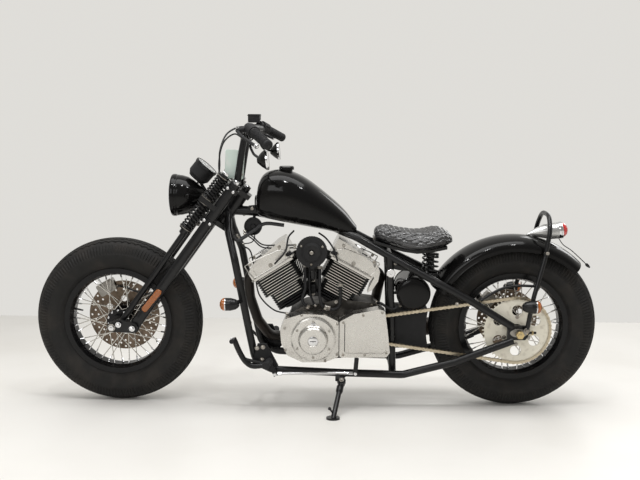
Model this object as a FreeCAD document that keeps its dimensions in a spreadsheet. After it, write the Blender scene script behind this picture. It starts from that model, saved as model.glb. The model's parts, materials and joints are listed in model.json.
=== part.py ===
import FreeCAD, Part
import math
import os
import re
from types import SimpleNamespace

import Sketcher

# A chopper motorcycle: rigid frame, springer fork, V-twin engine, wire wheels, leaning on its side stand.
# Upright layout: X runs rearwards from the front axle, Z up from the ground, left side at negative Y.

os.makedirs("parts", exist_ok=True)
Vector = FreeCAD.Vector
doc = FreeCAD.newDocument("chopper_motorcycle")

# Driving dimensions in millimetres
SIZES = {
    # layout
    "wheelbase": 1610,
    "head_height": 820,
    "fork_lead": 121.3,
    # clearances
    "fit_gap": 0.3,
    "running_gap": 0.5,
    "overrun": 2,
    # tyres
    "front_tyre_radius": 341,
    "front_crown_radius": 65,
    "front_tread_half": 42,
    "rear_tyre_radius": 338,
    "rear_crown_radius": 70,
    "rear_tread_half": 46,
    "sidewall_radius": 90,
    # wire wheels
    "bead_radius": 203,
    "rim_inner_radius": 190,
    "rim_flange_radius": 221,
    "rim_half_width": 45,
    "rim_flange": 4,
    "rim_well_depth": 9,
    "rim_well_half": 20,
    "hub_radius": 27,
    "hub_half_length": 52,
    "hub_flange_radius": 48,
    "hub_flange": 5,
    "hub_flange_offset": 33,
    "spoke_radius": 2,
    "spoke_rim_offset": 9,
    # axles
    "axle_radius": 10,
    "axle_bore_radius": 5,
    "axle_nut": 14,
    "rear_axle_nut": 23,
    "spacer_radius": 15,
    # brakes
    "disc_thickness": 5,
    "front_disc_offset": 60,
    "front_disc_radius": 148,
    "rear_disc_offset": 84,
    "rear_disc_radius": 125,
    "disc_hole_radius": 4.5,
    "disc_window_radius": 13,
    "disc_clearance": 5,
    "caliper_half_width": 17,
    "caliper_depth": 36,
    "caliper_wall": 16,
    "caliper_half_length": 38,
    "caliper_pin_radius": 5,
    # final drive
    "chain_offset": 98,
    "chain_pitch": 15.875,
    "chain_rear_radius": 133,
    "chain_front_radius": 41,
    "chain_roller_radius": 4.5,
    "chain_plate_rise": 7,
    "chain_plate_half": 6,
    "chain_plate": 2,
    "sprocket_thickness": 6,
    "sprocket_radius": 128,
    "sprocket_hole_radius": 22,
    "sprocket_hole_circle": 82,
    "output_shaft_radius": 13,
    # frame
    "frame_tube_radius": 15,
    "backbone_radius": 19,
    "cross_tube_radius": 12,
    "frame_half_width": 122,
    "rail_rear_half": 130,
    "rail_bend_radius": 70,
    "neck_radius": 27,
    "neck_bore_radius": 16,
    "neck_low": 84,
    "neck_high": 50,
    "neck_spread": 70,
    "seat_tube_half": 72,
    "seat_cross_half": 116,
    "rear_rail_top_half": 50,
    "axle_plate": 10,
    "axle_plate_length": 88,
    "axle_plate_height": 58,
    "adjuster_bolt_radius": 5,
    "adjuster_length": 70,
    # springer fork
    "leg_clearance": 19,
    "leg_offset": 40,
    "leg_radius": 21,
    "leg_above_head": 88,
    "leg_foot_radius": 24,
    "spring_leg_inset": 10,
    "spring_leg_offset": 95,
    "spring_leg_radius": 12,
    "spring_top_along": 92,
    "spring_plate_drop": 37,
    "spring_outer_radius": 26,
    "spring_wire_radius": 3.6,
    "spring_lower_length": 124,
    "spring_upper_length": 106,
    "spring_seat": 8,
    "spring_eye_radius": 14,
    "tree_thickness": 20,
    "tree_margin": 14,
    "rocker_reach": 19,
    "rocker_thickness": 14,
    "rocker_eye_radius": 20,
    "rocker_pin_radius": 8,
    "rocker_rear_reach": 82,
    "rocker_rear_drop": 3,
    "rocker_front_reach": 28,
    "rocker_front_rise": 12,
    # handlebar and what it carries
    "bar_radius": 12.7,
    "bar_end_half": 352,
    "bar_bend_radius": 45,
    "riser_radius": 13.5,
    "riser_half_spread": 60,
    "grip_radius": 18,
    "grip_length": 120,
    "housing_length": 40,
    "housing_radius": 23,
    "perch_length": 32,
    "lever_reach": 48,
    "lever_radius": 6,
    "fluid_box": 50,
    "mirror_offset": 280,
    "mirror_radius": 38,
    "mirror_depth": 40,
    "mirror_stem_radius": 5,
    "headlight_radius": 85,
    "headlight_depth": 128,
    "headlight_stay_radius": 15,
    "lens_thickness": 9,
    "lens_radius": 78,
    "speedo_radius": 49,
    "speedo_depth": 69,
    # engine, its outlines following the height of the cylinder crests over the crank
    "head_crest": 388,
    "head_end": 346,
    "barrel_end": 304,
    "barrel_start": 138,
    "barrel_radius": 52,
    "fin_half_width": 90,
    "fin_half_depth": 84,
    "narrow_fin_half": 72,
    "fin_thickness": 4,
    "fin_pitch": 10.5,
    "fin_corner": 24,
    "head_half_depth": 78,
    "head_rim": 9,
    "head_recess": 4,
    "crankcase_half_width": 72,
    "crank_round_radius": 118,
    "case_corner": 12,
    "cover_base_reach": 150,
    "cover_recess": 3,
    "alternator_reach": 190,
    "alternator_radius": 88,
    "sprocket_cover_reach": 170,
    "sprocket_cover_inner": 112,
    "clutch_base_reach": 96,
    "clutch_cover_reach": 118,
    "clutch_cover_radius": 98,
    "crank_cap_radius": 54,
    "carburettor_radius": 60,
    "carburettor_reach": 112,
    "carburettor_inner": 84,
    "carburettor_cap": 9,
    "pipe_radius": 21,
    "pipe_clamp": 16,
    "pipe_wall": 3,
    "muffler_radius": 38,
    "muffler_length": 469,
    "muffler_offset": 172,
    # tank
    "tank_half_width": 112,
    "tank_clearance": 3,
    "tank_cap_radius": 30,
    "tank_cap_height": 16,
    "tank_cap_root": 12,
    # seat
    "seat_half_width": 128,
    "seat_pan": 7,
    "seat_pan_half": 70,
    "seat_spring_radius": 27,
    "seat_spring_wire": 4,
    "seat_spring_half": 63,
    "seat_spring_height": 87,
    # fender and rear lamps
    "fender_clearance": 31,
    "fender_thickness": 3,
    "fender_skirt": 54,
    "fender_half_width": 92,
    "fender_edge_radius": 34,
    "stay_tube_radius": 9,
    "stay_foot_radius": 12,
    "tail_lamp_radius": 34,
    "tail_lamp_length": 56,
    "tail_lens_radius": 29,
    "tail_lens_length": 22,
    "signal_radius": 25,
    "signal_length": 56,
    "signal_lens_length": 18,
    "signal_offset": 190,
    "rear_signal_offset": 172,
    "signal_stalk_radius": 8,
    # between engine and rear wheel
    "oil_can_radius": 68,
    "oil_can_half_length": 92,
    "battery_half_width": 62,
    "tyre_clearance": 17,
    "ignition_radius": 17,
    "ignition_length": 26,
    "horn_radius": 36,
    "horn_depth": 34,
    # foot controls
    "control_reach": 42,
    "peg_radius": 15,
    "peg_length": 95,
    "link_radius": 5,
    "link_arm_width": 17,
    "link_arm_thickness": 13,
    # side stand
    "stand_pivot_reach": 30,
    "stand_leg_radius": 10,
    "stand_eye_radius": 17,
    "stand_eye_thickness": 14,
    "stand_pin_radius": 7,
    "stand_foot_radius": 26,
    "stand_foot_thickness": 7,
    "stand_foot_reach": 139,
}
# Angles in degrees
ANGLES = {
    "lean_angle": 7,
    "rake_angle": 36.7,
    "hub_lead_angle": 62,
    "front_caliper_angle": 120,
    "rear_caliper_angle": 140,
    "front_cylinder_angle": 32,
    "rear_cylinder_angle": 28.5,
    "muffler_rise": 7.5,
    "fender_front_angle": 154,
    "fender_rear_angle": 46,
    "fender_mount_angle": 149,
    "fender_stay_angle": 72.3,
    "tail_lamp_rise": 8,
    "speedo_tilt": 41,
}
COUNTS = {
    "spoke_count": 40,
    "disc_holes": 20,
    "disc_windows": 6,
    "sprocket_holes": 6,
    "barrel_fins": 15,
    "spring_turns": 9,
    "seat_spring_turns": 5,
    "peg_ridges": 5,
}

sheet = doc.addObject("Spreadsheet::Sheet", "sizes")
for row, (alias, value) in enumerate({**SIZES, **ANGLES, **COUNTS}.items(), start=1):
    sheet.set(f"A{row}", alias)
    sheet.set(f"B{row}", str(value))
    sheet.setAlias(f"B{row}", alias)
doc.recompute()
aliases = [*SIZES, *ANGLES, *COUNTS]
mm = SimpleNamespace(**{alias: float(sheet.get(alias)) for alias in aliases})

nodes = {}


# Helpers that read the sheet

def bound(formula):
    """Writes a formula of size names as an expression on the sheet."""
    return re.sub(r"[a-z_]+[a-z]",
                  lambda word: f"sizes.{word[0]}" if word[0] in aliases else word[0], formula)


def worth(formula):
    return float(sheet.evalExpression(bound(formula)))


def keep(label, piece):
    """Names a finished sub-part and lists it for output."""
    piece.Label = label
    nodes[label] = piece
    return piece


def shaped(label, shape):
    """A sub-part whose shape is worked out from the sheet's sizes by code."""
    piece = doc.addObject("Part::Feature", label)
    piece.Shape = shape
    return keep(label, piece)


def spot(x_share, z_share, y=0.0):
    """A place on the side view, as shares of the way from head to rear axle and of the head's height."""
    return Vector(head.x + x_share * (mm.wheelbase - head.x), y, z_share * mm.head_height)


def spots(table_shares, y=0.0):
    return [spot(x_share, z_share, y) for x_share, z_share in table_shares]


def steered_spot(x_share, z_share, y=0.0):
    """A place behind the head that turns with it, both as shares of the head's height."""
    return Vector(head.x + x_share * mm.head_height, y, z_share * mm.head_height)


def engine_spot(x_share, z_share, y=0.0):
    """A place about the crank, as shares of the cylinders' height."""
    return Vector(crank.x + x_share * mm.head_crest, y, crank.z + z_share * mm.head_crest)


def engine_spots(table_shares, y=0.0):
    return [engine_spot(x_share, z_share, y) for x_share, z_share in table_shares]


def rear_spot(x_share, z_share, y=0.0):
    """A place about the rear axle, as shares of the fender's radius."""
    return rear_axle + Vector(x_share * fender_radius, y, z_share * fender_radius)


def polar(centre, radius, degrees):
    """A point round a centre in the side view, the angle up from the rearward direction."""
    angle = math.radians(degrees)
    return centre + Vector(radius * math.cos(angle), 0, radius * math.sin(angle))


def joined(shapes):
    return shapes[0].fuse(shapes[1:]) if len(shapes) > 1 else shapes[0]


def largest(shape):
    """The main solid of a trimmed shape."""
    return max(shape.Solids, key=lambda solid: solid.Volume)


def mirrored(shape):
    return shape.mirror(Vector(0, 0, 0), Vector(0, 1, 0))


def rod(start, end, radius):
    run = end - start
    return Part.makeCylinder(radius, run.Length, start, run)


def cross_rod(place, radius, start, end):
    """A rod across the machine, along Y, between two lateral offsets."""
    low, high = sorted((start, end))
    return Part.makeCylinder(radius, high - low, Vector(place.x, low, place.z), Vector(0, 1, 0))


def tube(points, radius, bend):
    """A round tube along straight runs joined by tangent arcs."""
    room_share = 0.45
    edges = []
    start = points[0]
    for before, corner, after in zip(points, points[1:], points[2:]):
        toward, away = before - corner, after - corner
        turn = math.pi - toward.getAngle(away)
        room = room_share * min(toward.Length, away.Length)
        bend_here = min(bend, room / math.tan(turn / 2))
        cut = bend_here * math.tan(turn / 2)
        toward.normalize()
        away.normalize()
        middle = (toward + away).normalize() * (bend_here / math.cos(turn / 2) - bend_here)
        edges.append(Part.LineSegment(start, corner + toward * cut).toShape())
        edges.append(Part.Arc(corner + toward * cut, corner + middle, corner + away * cut).toShape())
        start = corner + away * cut
    edges.append(Part.LineSegment(start, points[-1]).toShape())
    ring = Part.Wire(Part.Circle(points[0], points[1] - points[0], radius).toShape())
    return Part.Wire(edges).makePipeShell([ring], True, False)


def slab(points, start, end):
    """A plate of the given side outline between two lateral offsets."""
    low, high = sorted((start, end))
    outline = [Vector(point.x, low, point.z) for point in points]
    face = Part.Face(Part.makePolygon(outline + outline[:1]))
    return face.extrude(Vector(0, high - low, 0))


def inset(points, inset_share):
    """The same outline drawn smaller about its middle."""
    middle = sum(points, Vector(0, 0, 0)) * (1 / len(points))
    return [middle + (point - middle) * inset_share for point in points]


def rounded(solid, radius, direction=Vector(0, 1, 0)):
    """Rounds the edges of a solid that run along one direction."""
    edges = [edge for edge in solid.Edges
             if edge.Curve.TypeId == "Part::GeomLine" and abs(edge.tangentAt(0).dot(direction)) > 0.999]
    return solid.makeFillet(radius, edges)


def revolved(start, direction, table_shares, length, radius):
    """A solid turned about an axis from shares (along its length, of its radius), both ends on the axis."""
    corners = [Vector(out_share * radius, 0, along_share * length)
               for along_share, out_share in table_shares]
    face = Part.Face(Part.makePolygon(corners + corners[:1]))
    solid = face.revolve(Vector(0, 0, 0), Vector(0, 0, 1), 360)
    solid.Placement = FreeCAD.Placement(start, FreeCAD.Rotation(Vector(0, 0, 1), direction))
    return solid


def loop_section(centre, half_across, half_up):
    """A closed soft-cornered section in a plane across the machine."""
    corner_share = 0.82
    steps = 16
    points = []
    for step in range(steps):
        angle = 2 * math.pi * step / steps
        across, up = math.cos(angle), math.sin(angle)
        across = math.copysign(abs(across) ** corner_share, across)
        up = math.copysign(abs(up) ** corner_share, up)
        points.append(centre + Vector(0, half_across * across, half_up * up))
    curve = Part.BSplineCurve()
    curve.interpolate(points, PeriodicFlag=True)
    return Part.Wire(curve.toShape())


def lofted(sections_shares, half_width):
    """A skin over sections given as shares: place, underside, top and width."""
    rings = []
    for x_share, low_share, high_share, half_share in sections_shares:
        centre = spot(x_share, (low_share + high_share) / 2)
        rings.append(loop_section(centre, half_share * half_width,
                                  (high_share - low_share) / 2 * mm.head_height))
    return Part.makeLoft(rings, True, False)


def origin_plane(body, role):
    return next(feature for feature in body.Origin.OriginFeatures if feature.Role == role)


def outline_sketch(body, outline):
    """A closed sketch whose corners, and arc radii where given, follow the sheet."""
    sketch = body.newObject("Sketcher::SketchObject", "outline")
    sketch.AttachmentSupport = [(origin_plane(body, "YZ_Plane"), "")]
    sketch.MapMode = "FlatFace"
    corners = [Vector(worth(point[0]), worth(point[1]), 0) for point in outline]
    following = corners[1:] + corners[:1]
    for point, start, end in zip(outline, corners, following):
        if len(point) == 2:
            sketch.addGeometry(Part.LineSegment(start, end), False)
            continue
        radius = worth(point[2])
        chord = end - start
        outward = Vector(-chord.y, chord.x, 0).normalize() * point[3]
        sagitta = radius - math.sqrt(radius ** 2 - (chord.Length / 2) ** 2)
        sketch.addGeometry(Part.Arc(start, (start + end) * 0.5 + outward * sagitta, end), False)
    first_end = [1 if sketch.getPoint(index, 1).distanceToPoint(start) < 0.001 else 2
                 for index, start in enumerate(corners)]
    for index, point in enumerate(outline):
        after = (index + 1) % len(outline)
        sketch.addConstraint(Sketcher.Constraint(
            "Coincident", index, 3 - first_end[index], after, first_end[after]))
        for axis, kind in enumerate(("DistanceX", "DistanceY")):
            if point[axis] == "0":
                sketch.addConstraint(Sketcher.Constraint(
                    "PointOnObject", index, first_end[index], axis - 2))
                continue
            number = sketch.addConstraint(Sketcher.Constraint(
                kind, -1, 1, index, first_end[index], corners[index][axis]))
            sketch.setExpression(f"Constraints[{number}]", bound(point[axis]))
        if len(point) > 2:
            number = sketch.addConstraint(Sketcher.Constraint("Radius", index, worth(point[2])))
            sketch.setExpression(f"Constraints[{number}]", bound(point[2]))
    return sketch


def turned_body(label, outline, place, direction=Vector(0, 1, 0)):
    """A body turned about an axis through its place, from corners (along, out)."""
    body = doc.addObject("PartDesign::Body", label)
    sketch = outline_sketch(body, outline)
    turn = body.newObject("PartDesign::Revolution", "turn")
    turn.Profile = sketch
    turn.ReferenceAxis = (sketch, ["H_Axis"])
    turn.Angle = 360
    body.Placement = FreeCAD.Placement(place, FreeCAD.Rotation(Vector(0, 1, 0), direction))
    return body


def turned(label, outline, place, direction=Vector(0, 1, 0)):
    return keep(label, turned_body(label, outline, place, direction))


def formulas(table_shares, length, radius):
    """Corner formulas from shares of two named sizes."""
    return [tuple(f"{share} * {size}" if share else "0" for share, size in zip(pair, (length, radius)))
            for pair in table_shares]


def mirrored_pair(label, bodies):
    """One sub-part of the given bodies and their mirror images across the centre plane."""
    images = []
    for body in bodies:
        image = doc.addObject("Part::Mirroring", f"{body.Name}_right")
        image.Source = body
        image.Normal = Vector(0, 1, 0)
        images.append(image)
    pair = doc.addObject("Part::Compound", label)
    pair.Links = [*bodies, *images]
    return keep(label, pair)


def hole_ring(body, radius, circle, count, depth, turn_share=0.0):
    """Cuts a ring of round holes through a turned plate, along its axis."""
    angle = turn_share * 2 * math.pi / worth(count)
    across_share, up_share = math.sin(angle), math.cos(angle)
    sketch = body.newObject("Sketcher::SketchObject", "hole")
    sketch.AttachmentSupport = [(origin_plane(body, "XZ_Plane"), "")]
    sketch.MapMode = "FlatFace"
    centre = Vector(across_share * worth(circle), up_share * worth(circle), 0)
    sketch.addGeometry(Part.Circle(centre, Vector(0, 0, 1), worth(radius)), False)
    if turn_share:
        number = sketch.addConstraint(Sketcher.Constraint("DistanceX", -1, 1, 0, 3, centre.x))
        sketch.setExpression(f"Constraints[{number}]", bound(f"{across_share:.6f} * ({circle})"))
    else:
        sketch.addConstraint(Sketcher.Constraint("PointOnObject", 0, 3, -2))
    number = sketch.addConstraint(Sketcher.Constraint("DistanceY", -1, 1, 0, 3, centre.y))
    sketch.setExpression(f"Constraints[{number}]", bound(f"{up_share:.6f} * ({circle})"))
    number = sketch.addConstraint(Sketcher.Constraint("Radius", 0, worth(radius)))
    sketch.setExpression(f"Constraints[{number}]", bound(radius))
    pocket = body.newObject("PartDesign::Pocket", "pocket")
    pocket.Profile = sketch
    pocket.SideType = "Symmetric"
    pocket.setExpression("Length", bound(depth))
    ring = body.newObject("PartDesign::PolarPattern", "ring")
    ring.Originals = [pocket]
    ring.Axis = (sketch, ["N_Axis"])
    ring.Angle = 360
    ring.setExpression("Occurrences", bound(count))
    body.Tip = ring


# Reference places

lean = math.radians(mm.lean_angle)
rake = math.radians(mm.rake_angle)
front_axle_height = (mm.front_tyre_radius - mm.front_crown_radius
                     + mm.front_crown_radius / math.cos(lean))
rear_axle_height = (mm.rear_tyre_radius - mm.rear_crown_radius
                    + mm.rear_crown_radius / math.cos(lean))
front_axle = Vector(0, 0, front_axle_height)
rear_axle = Vector(mm.wheelbase, 0, rear_axle_height)
head = Vector(mm.fork_lead + (mm.head_height - front_axle_height) * math.tan(rake), 0, mm.head_height)
steer_up = Vector(math.sin(rake), 0, math.cos(rake))
steer_ahead = Vector(-math.cos(rake), 0, math.sin(rake))
crank = spot(0.2871, 0.378)
output = engine_spot(0.4691, 0.0644)
fender_radius = mm.rear_tyre_radius + mm.fender_clearance + mm.fender_thickness
leg_half = mm.front_crown_radius + mm.leg_clearance + mm.leg_radius
spring_leg_half = leg_half - mm.spring_leg_inset
rocker_offset = leg_half + mm.rocker_reach
rocker_inner = rocker_offset - mm.rocker_thickness / 2
rocker_outer = rocker_offset + mm.rocker_thickness / 2
front_axle_half = rocker_offset + mm.axle_nut
rear_axle_half = mm.rail_rear_half + mm.axle_plate / 2 + mm.rear_axle_nut


def fork(along, ahead, y=0.0):
    """A place on the steering head: along its axis, ahead of it, and to one side."""
    return head + steer_up * along + steer_ahead * ahead + Vector(0, y, 0)


# Wheels

def tyre(label, end, place):
    """A balloon tyre: a round crown, bulged sidewalls and a bead on the rim."""
    crown_centre = f"{end}_tyre_radius - {end}_crown_radius"
    shoulder = (f"{crown_centre} + sqrt({end}_crown_radius * {end}_crown_radius"
                f" - {end}_tread_half * {end}_tread_half)")
    bead = "rim_half_width - rim_flange - fit_gap"
    turned(label, [
        (f"-({bead})", "bead_radius + fit_gap"),
        (f"-({bead})", "rim_flange_radius + fit_gap", "sidewall_radius", 1),
        (f"-{end}_crown_radius", crown_centre, f"{end}_crown_radius", 1),
        (f"-{end}_tread_half", shoulder, f"{end}_crown_radius", 1),
        (f"{end}_tread_half", shoulder, f"{end}_crown_radius", 1),
        (f"{end}_crown_radius", crown_centre, "sidewall_radius", 1),
        (bead, "rim_flange_radius + fit_gap"),
        (bead, "bead_radius + fit_gap"),
    ], place)


def spoke(angle, hub_lead, side):
    """One wire spoke from a hub flange to the rim well."""
    hub_radius = mm.hub_flange_radius - mm.hub_flange
    start = Vector(hub_radius * math.sin(angle + hub_lead), side * mm.hub_flange_offset,
                   hub_radius * math.cos(angle + hub_lead))
    rim_radius = mm.rim_inner_radius + mm.rim_well_depth / 2
    end = Vector(rim_radius * math.sin(angle), side * mm.spoke_rim_offset, rim_radius * math.cos(angle))
    across = (end - start).cross(Vector(0, 1, 0)).normalize()
    up = across.cross((end - start).normalize())
    corners = 6
    ring = [start + (across * math.cos(2 * math.pi * corner / corners)
                     + up * math.sin(2 * math.pi * corner / corners)) * mm.spoke_radius
            for corner in range(corners)]
    return Part.Face(Part.makePolygon(ring + ring[:1])).extrude(end - start)


def wire_wheel(label, place, hub_left, hub_right):
    """Rim, hub and crossed spokes of one wheel, laced into one piece."""
    rim_outline = [
        (-mm.rim_half_width, mm.rim_inner_radius + mm.rim_well_depth),
        (-mm.rim_well_half, mm.rim_inner_radius),
        (mm.rim_well_half, mm.rim_inner_radius),
        (mm.rim_half_width, mm.rim_inner_radius + mm.rim_well_depth),
        (mm.rim_half_width, mm.rim_flange_radius),
        (mm.rim_half_width - mm.rim_flange, mm.rim_flange_radius),
        (mm.rim_half_width - mm.rim_flange, mm.bead_radius),
        (mm.rim_flange - mm.rim_half_width, mm.bead_radius),
        (mm.rim_flange - mm.rim_half_width, mm.rim_flange_radius),
        (-mm.rim_half_width, mm.rim_flange_radius),
    ]
    corners = [Vector(0, along, out) for along, out in rim_outline]
    middle = Vector(0, 0, 0)
    rim = Part.Face(Part.makePolygon(corners + corners[:1])).revolve(middle, Vector(0, 1, 0), 360)
    hub = cross_rod(middle, mm.hub_radius, -hub_left, hub_right)
    flanges = [cross_rod(middle, mm.hub_flange_radius, side * mm.hub_flange_offset - mm.hub_flange / 2,
                         side * mm.hub_flange_offset + mm.hub_flange / 2) for side in (-1, 1)]
    hub_lead = math.radians(mm.hub_lead_angle)
    spokes = []
    for number in range(int(mm.spoke_count)):
        side = -1 if number % 2 else 1
        lead = hub_lead if number % 4 < 2 else -hub_lead
        spokes.append(spoke(2 * math.pi * number / mm.spoke_count, lead, side))
    bore = cross_rod(middle, mm.axle_radius + mm.running_gap, -hub_left - mm.overrun,
                     hub_right + mm.overrun)
    wheel = joined([rim, hub, *flanges, *spokes]).cut(bore)
    wheel.translate(place)
    shaped(label, wheel)


def brake_disc(label, place, end):
    """A drilled brake disc: staggered rings of holes round a windowed middle."""
    offset = f"{end}_disc_offset"
    body = turned(label, [
        (f"{offset} - disc_thickness / 2", "hub_radius + fit_gap"),
        (f"{offset} + disc_thickness / 2", "hub_radius + fit_gap"),
        (f"{offset} + disc_thickness / 2", f"{end}_disc_radius"),
        (f"{offset} - disc_thickness / 2", f"{end}_disc_radius"),
    ], place)
    for circle_share, turn_share in ((0.93, 0), (0.84, 0.5), (0.75, 0)):
        hole_ring(body, "disc_hole_radius", f"{circle_share} * {end}_disc_radius", "disc_holes",
                  f"3 * {offset}", turn_share)
    window_share = 0.48
    hole_ring(body, "disc_window_radius", f"{window_share} * {end}_disc_radius", "disc_windows",
              f"3 * {offset}")


tyre("front_tyre", "front", front_axle)
wire_wheel("front_wire_wheel", front_axle, mm.hub_half_length, mm.front_disc_offset + mm.disc_thickness)
brake_disc("front_brake_disc", front_axle, "front")
tyre("rear_tyre", "rear", rear_axle)
wire_wheel("rear_wire_wheel", rear_axle, mm.chain_offset + mm.sprocket_thickness,
           mm.rear_disc_offset + mm.disc_thickness)
brake_disc("rear_brake_disc", rear_axle, "rear")

sprocket = turned("rear_sprocket", [
    ("-chain_offset - sprocket_thickness / 2", "hub_radius + fit_gap"),
    ("-chain_offset + sprocket_thickness / 2", "hub_radius + fit_gap"),
    ("-chain_offset + sprocket_thickness / 2", "sprocket_radius - sprocket_thickness"),
    ("-chain_offset + sprocket_thickness / 4", "sprocket_radius"),
    ("-chain_offset - sprocket_thickness / 4", "sprocket_radius"),
    ("-chain_offset - sprocket_thickness / 2", "sprocket_radius - sprocket_thickness"),
], rear_axle)
hole_ring(sprocket, "sprocket_hole_radius", "sprocket_hole_circle", "sprocket_holes", "3 * chain_offset")


# Axles, each with its spacers and nuts, drilled through

def hollow_axle(label, place, half_length, spacers, nut_from):
    """An axle: nuts outside, spacers beside the hub, and the plain rod between them."""
    bore, plain, thick = "axle_bore_radius", "axle_radius", "spacer_radius"
    steps = [f"-({half_length})", f"-({nut_from})", *spacers, nut_from, half_length]
    outline = [(steps[0], bore)]
    for number, (low, high) in enumerate(zip(steps, steps[1:])):
        radius = plain if number % 2 else thick
        outline += [(low, radius), (high, radius)]
    outline.append((steps[-1], bore))
    turned(label, outline, place)


front_half = "front_crown_radius + leg_clearance + leg_radius + rocker_reach"
hollow_axle("front_axle", front_axle, f"{front_half} + axle_nut", [
    f"-({front_half} - rocker_thickness / 2 - fit_gap)", "-hub_half_length - running_gap",
    "front_disc_offset + disc_thickness + running_gap", f"{front_half} - rocker_thickness / 2 - fit_gap",
], f"{front_half} + rocker_thickness / 2 + fit_gap")
hollow_axle("rear_axle", rear_axle, "rail_rear_half + axle_plate / 2 + rear_axle_nut", [
    "-rail_rear_half + axle_plate / 2", "-chain_offset - sprocket_thickness - running_gap",
    "rear_disc_offset + disc_thickness + running_gap", "rail_rear_half - axle_plate / 2",
], "rail_rear_half + axle_plate / 2")


# Frame

BACKBONE_SHARES = [(-0.0141, 0.9756), (0.0724, 0.9695), (0.3463, 0.9), (0.3949, 0.8732)]
DOWN_TUBE_SHARES = [(-0.0203, 0.9634), (-0.0141, 0.8805), (0.0124, 0.7585), (0.061, 0.4012),
                    (0.083, 0.25), (0.1431, 0.2098), (0.3869, 0.1976), (0.6025, 0.1915), (0.7827, 0.2622)]
UPPER_RAIL_SHARES = [(0.3772, 0.8805), (0.4355, 0.8537), (0.5512, 0.7671), (0.7261, 0.6427),
                     (0.8348, 0.5646)]
SEAT_TUBE_SHARES = [(0.5512, 0.7671), (0.5689, 0.1915)]
RAIL_END_SHARES = [(-0.0484, -0.0874), (-0.0645, 0.0632)]
STAND_RAIL_SHARES = (0.3869, 0.1976)


def down_tube(side):
    spread = [mm.backbone_radius, mm.neck_spread] + [mm.frame_half_width] * 6 + [mm.rail_rear_half]
    points = [spot(x, z, side * y) for (x, z), y in zip(DOWN_TUBE_SHARES, spread)]
    points.append(rear_spot(*RAIL_END_SHARES[0], side * mm.rail_rear_half))
    return tube(points, mm.frame_tube_radius, mm.rail_bend_radius)


def upper_rail(side, radius):
    spread = [mm.rear_rail_top_half / 2, mm.rear_rail_top_half, mm.seat_tube_half, mm.seat_cross_half,
              mm.rail_rear_half]
    points = [spot(x, z, side * y) for (x, z), y in zip(UPPER_RAIL_SHARES, spread)]
    points.append(rear_spot(*RAIL_END_SHARES[1], side * mm.rail_rear_half))
    return tube(points, radius, mm.rail_bend_radius * 2)


def axle_plate(side):
    """A pointed plate that carries the rear axle, with its chain adjuster bolt."""
    middle = side * mm.rail_rear_half
    tall = mm.axle_plate_height / 2
    long = mm.axle_plate_length / 2
    corners = [rear_axle + Vector(x, 0, z) for x, z in (
        (-long, -tall), (tall, -tall), (long, 0), (tall, tall), (-long, tall))]
    plate = slab(corners, middle - mm.axle_plate / 2, middle + mm.axle_plate / 2)
    bolt = rod(rear_axle + Vector(long / 2, middle, 0), rear_axle + Vector(mm.adjuster_length, middle, 0),
               mm.adjuster_bolt_radius)
    return joined([rounded(plate, mm.axle_plate / 2), bolt])


def side_loop(side):
    """One side of the frame: down tube, lower rail, upper rail and axle plate."""
    loop = joined([down_tube(side), upper_rail(side, mm.frame_tube_radius), axle_plate(side)])
    return loop.cut(cross_rod(rear_axle, mm.axle_radius + mm.fit_gap, -rear_axle_half, rear_axle_half))


def frame_spine():
    """Steering neck and backbone."""
    neck = rod(fork(-mm.neck_low, 0), fork(mm.neck_high, 0), mm.neck_radius)
    return joined([neck, tube(spots(BACKBONE_SHARES), mm.backbone_radius, mm.rail_bend_radius * 2)])


def frame_crossings():
    """Seat tubes and the tubes across the frame, the rearmost one bearing on the fender."""
    seat_tubes = [rod(*spots(SEAT_TUBE_SHARES, side * mm.seat_tube_half), mm.frame_tube_radius)
                  for side in (-1, 1)]
    places = [spot(0.5689, 0.1915), spot(0.1078, 0.2317), spot(0.5512, 0.7671), seat_cross]
    halves = [mm.frame_half_width, mm.frame_half_width, mm.seat_tube_half, mm.seat_cross_half]
    return joined(seat_tubes + [cross_rod(place, mm.cross_tube_radius, -half, half)
                                for place, half in zip(places, halves)])


def stand_lug():
    """The side stand's lug and hinge pin on the left lower rail."""
    half_eye = mm.stand_eye_thickness / 2
    back = stand_pivot - stand_axis * (half_eye + mm.running_gap)
    plate = rod(back - stand_axis * mm.stand_eye_thickness, back, 2 * mm.stand_pin_radius)
    pin = rod(back, stand_pivot + stand_axis * half_eye * 2, mm.stand_pin_radius)
    behind = stand_axis * (half_eye + mm.running_gap + mm.stand_pin_radius)
    arm = rod(spot(*STAND_RAIL_SHARES, -mm.frame_half_width) - behind, stand_pivot - behind,
              mm.stand_pin_radius)
    clearing = rod(back, stand_pivot + stand_axis * half_eye, mm.stand_eye_radius + mm.running_gap)
    return joined([plate, pin, arm.cut(clearing)])


# The stand leans out and down from its pivot, and its hinge is square to the leg.
stand_pivot = spot(0.3869, 0.1659, -mm.frame_half_width - mm.stand_pivot_reach)
stand_foot_y = stand_pivot.y - mm.stand_foot_reach
stand_foot = spot(0.3587, 0, stand_foot_y) + Vector(0, 0, -stand_foot_y * math.tan(lean))
leg_run = (stand_foot - stand_pivot).normalize()
stand_axis = Vector(0, leg_run.z, -leg_run.y).normalize()
seat_cross = polar(rear_axle, fender_radius + mm.cross_tube_radius + mm.fit_gap, mm.fender_mount_angle)

spine_shape = frame_spine()
left_shape = joined([side_loop(-1), stand_lug()]).cut(spine_shape)
right_shape = side_loop(1).cut(spine_shape)
neck_bore = rod(fork(-2 * mm.neck_low, 0), fork(2 * mm.neck_high, 0), mm.neck_bore_radius)
centre_shape = joined([spine_shape, frame_crossings()]).cut([left_shape, right_shape, neck_bore])
shaped("frame_left_loop", left_shape)
shaped("frame_right_loop", right_shape)
shaped("frame_centre", centre_shape)


# Engine

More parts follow.
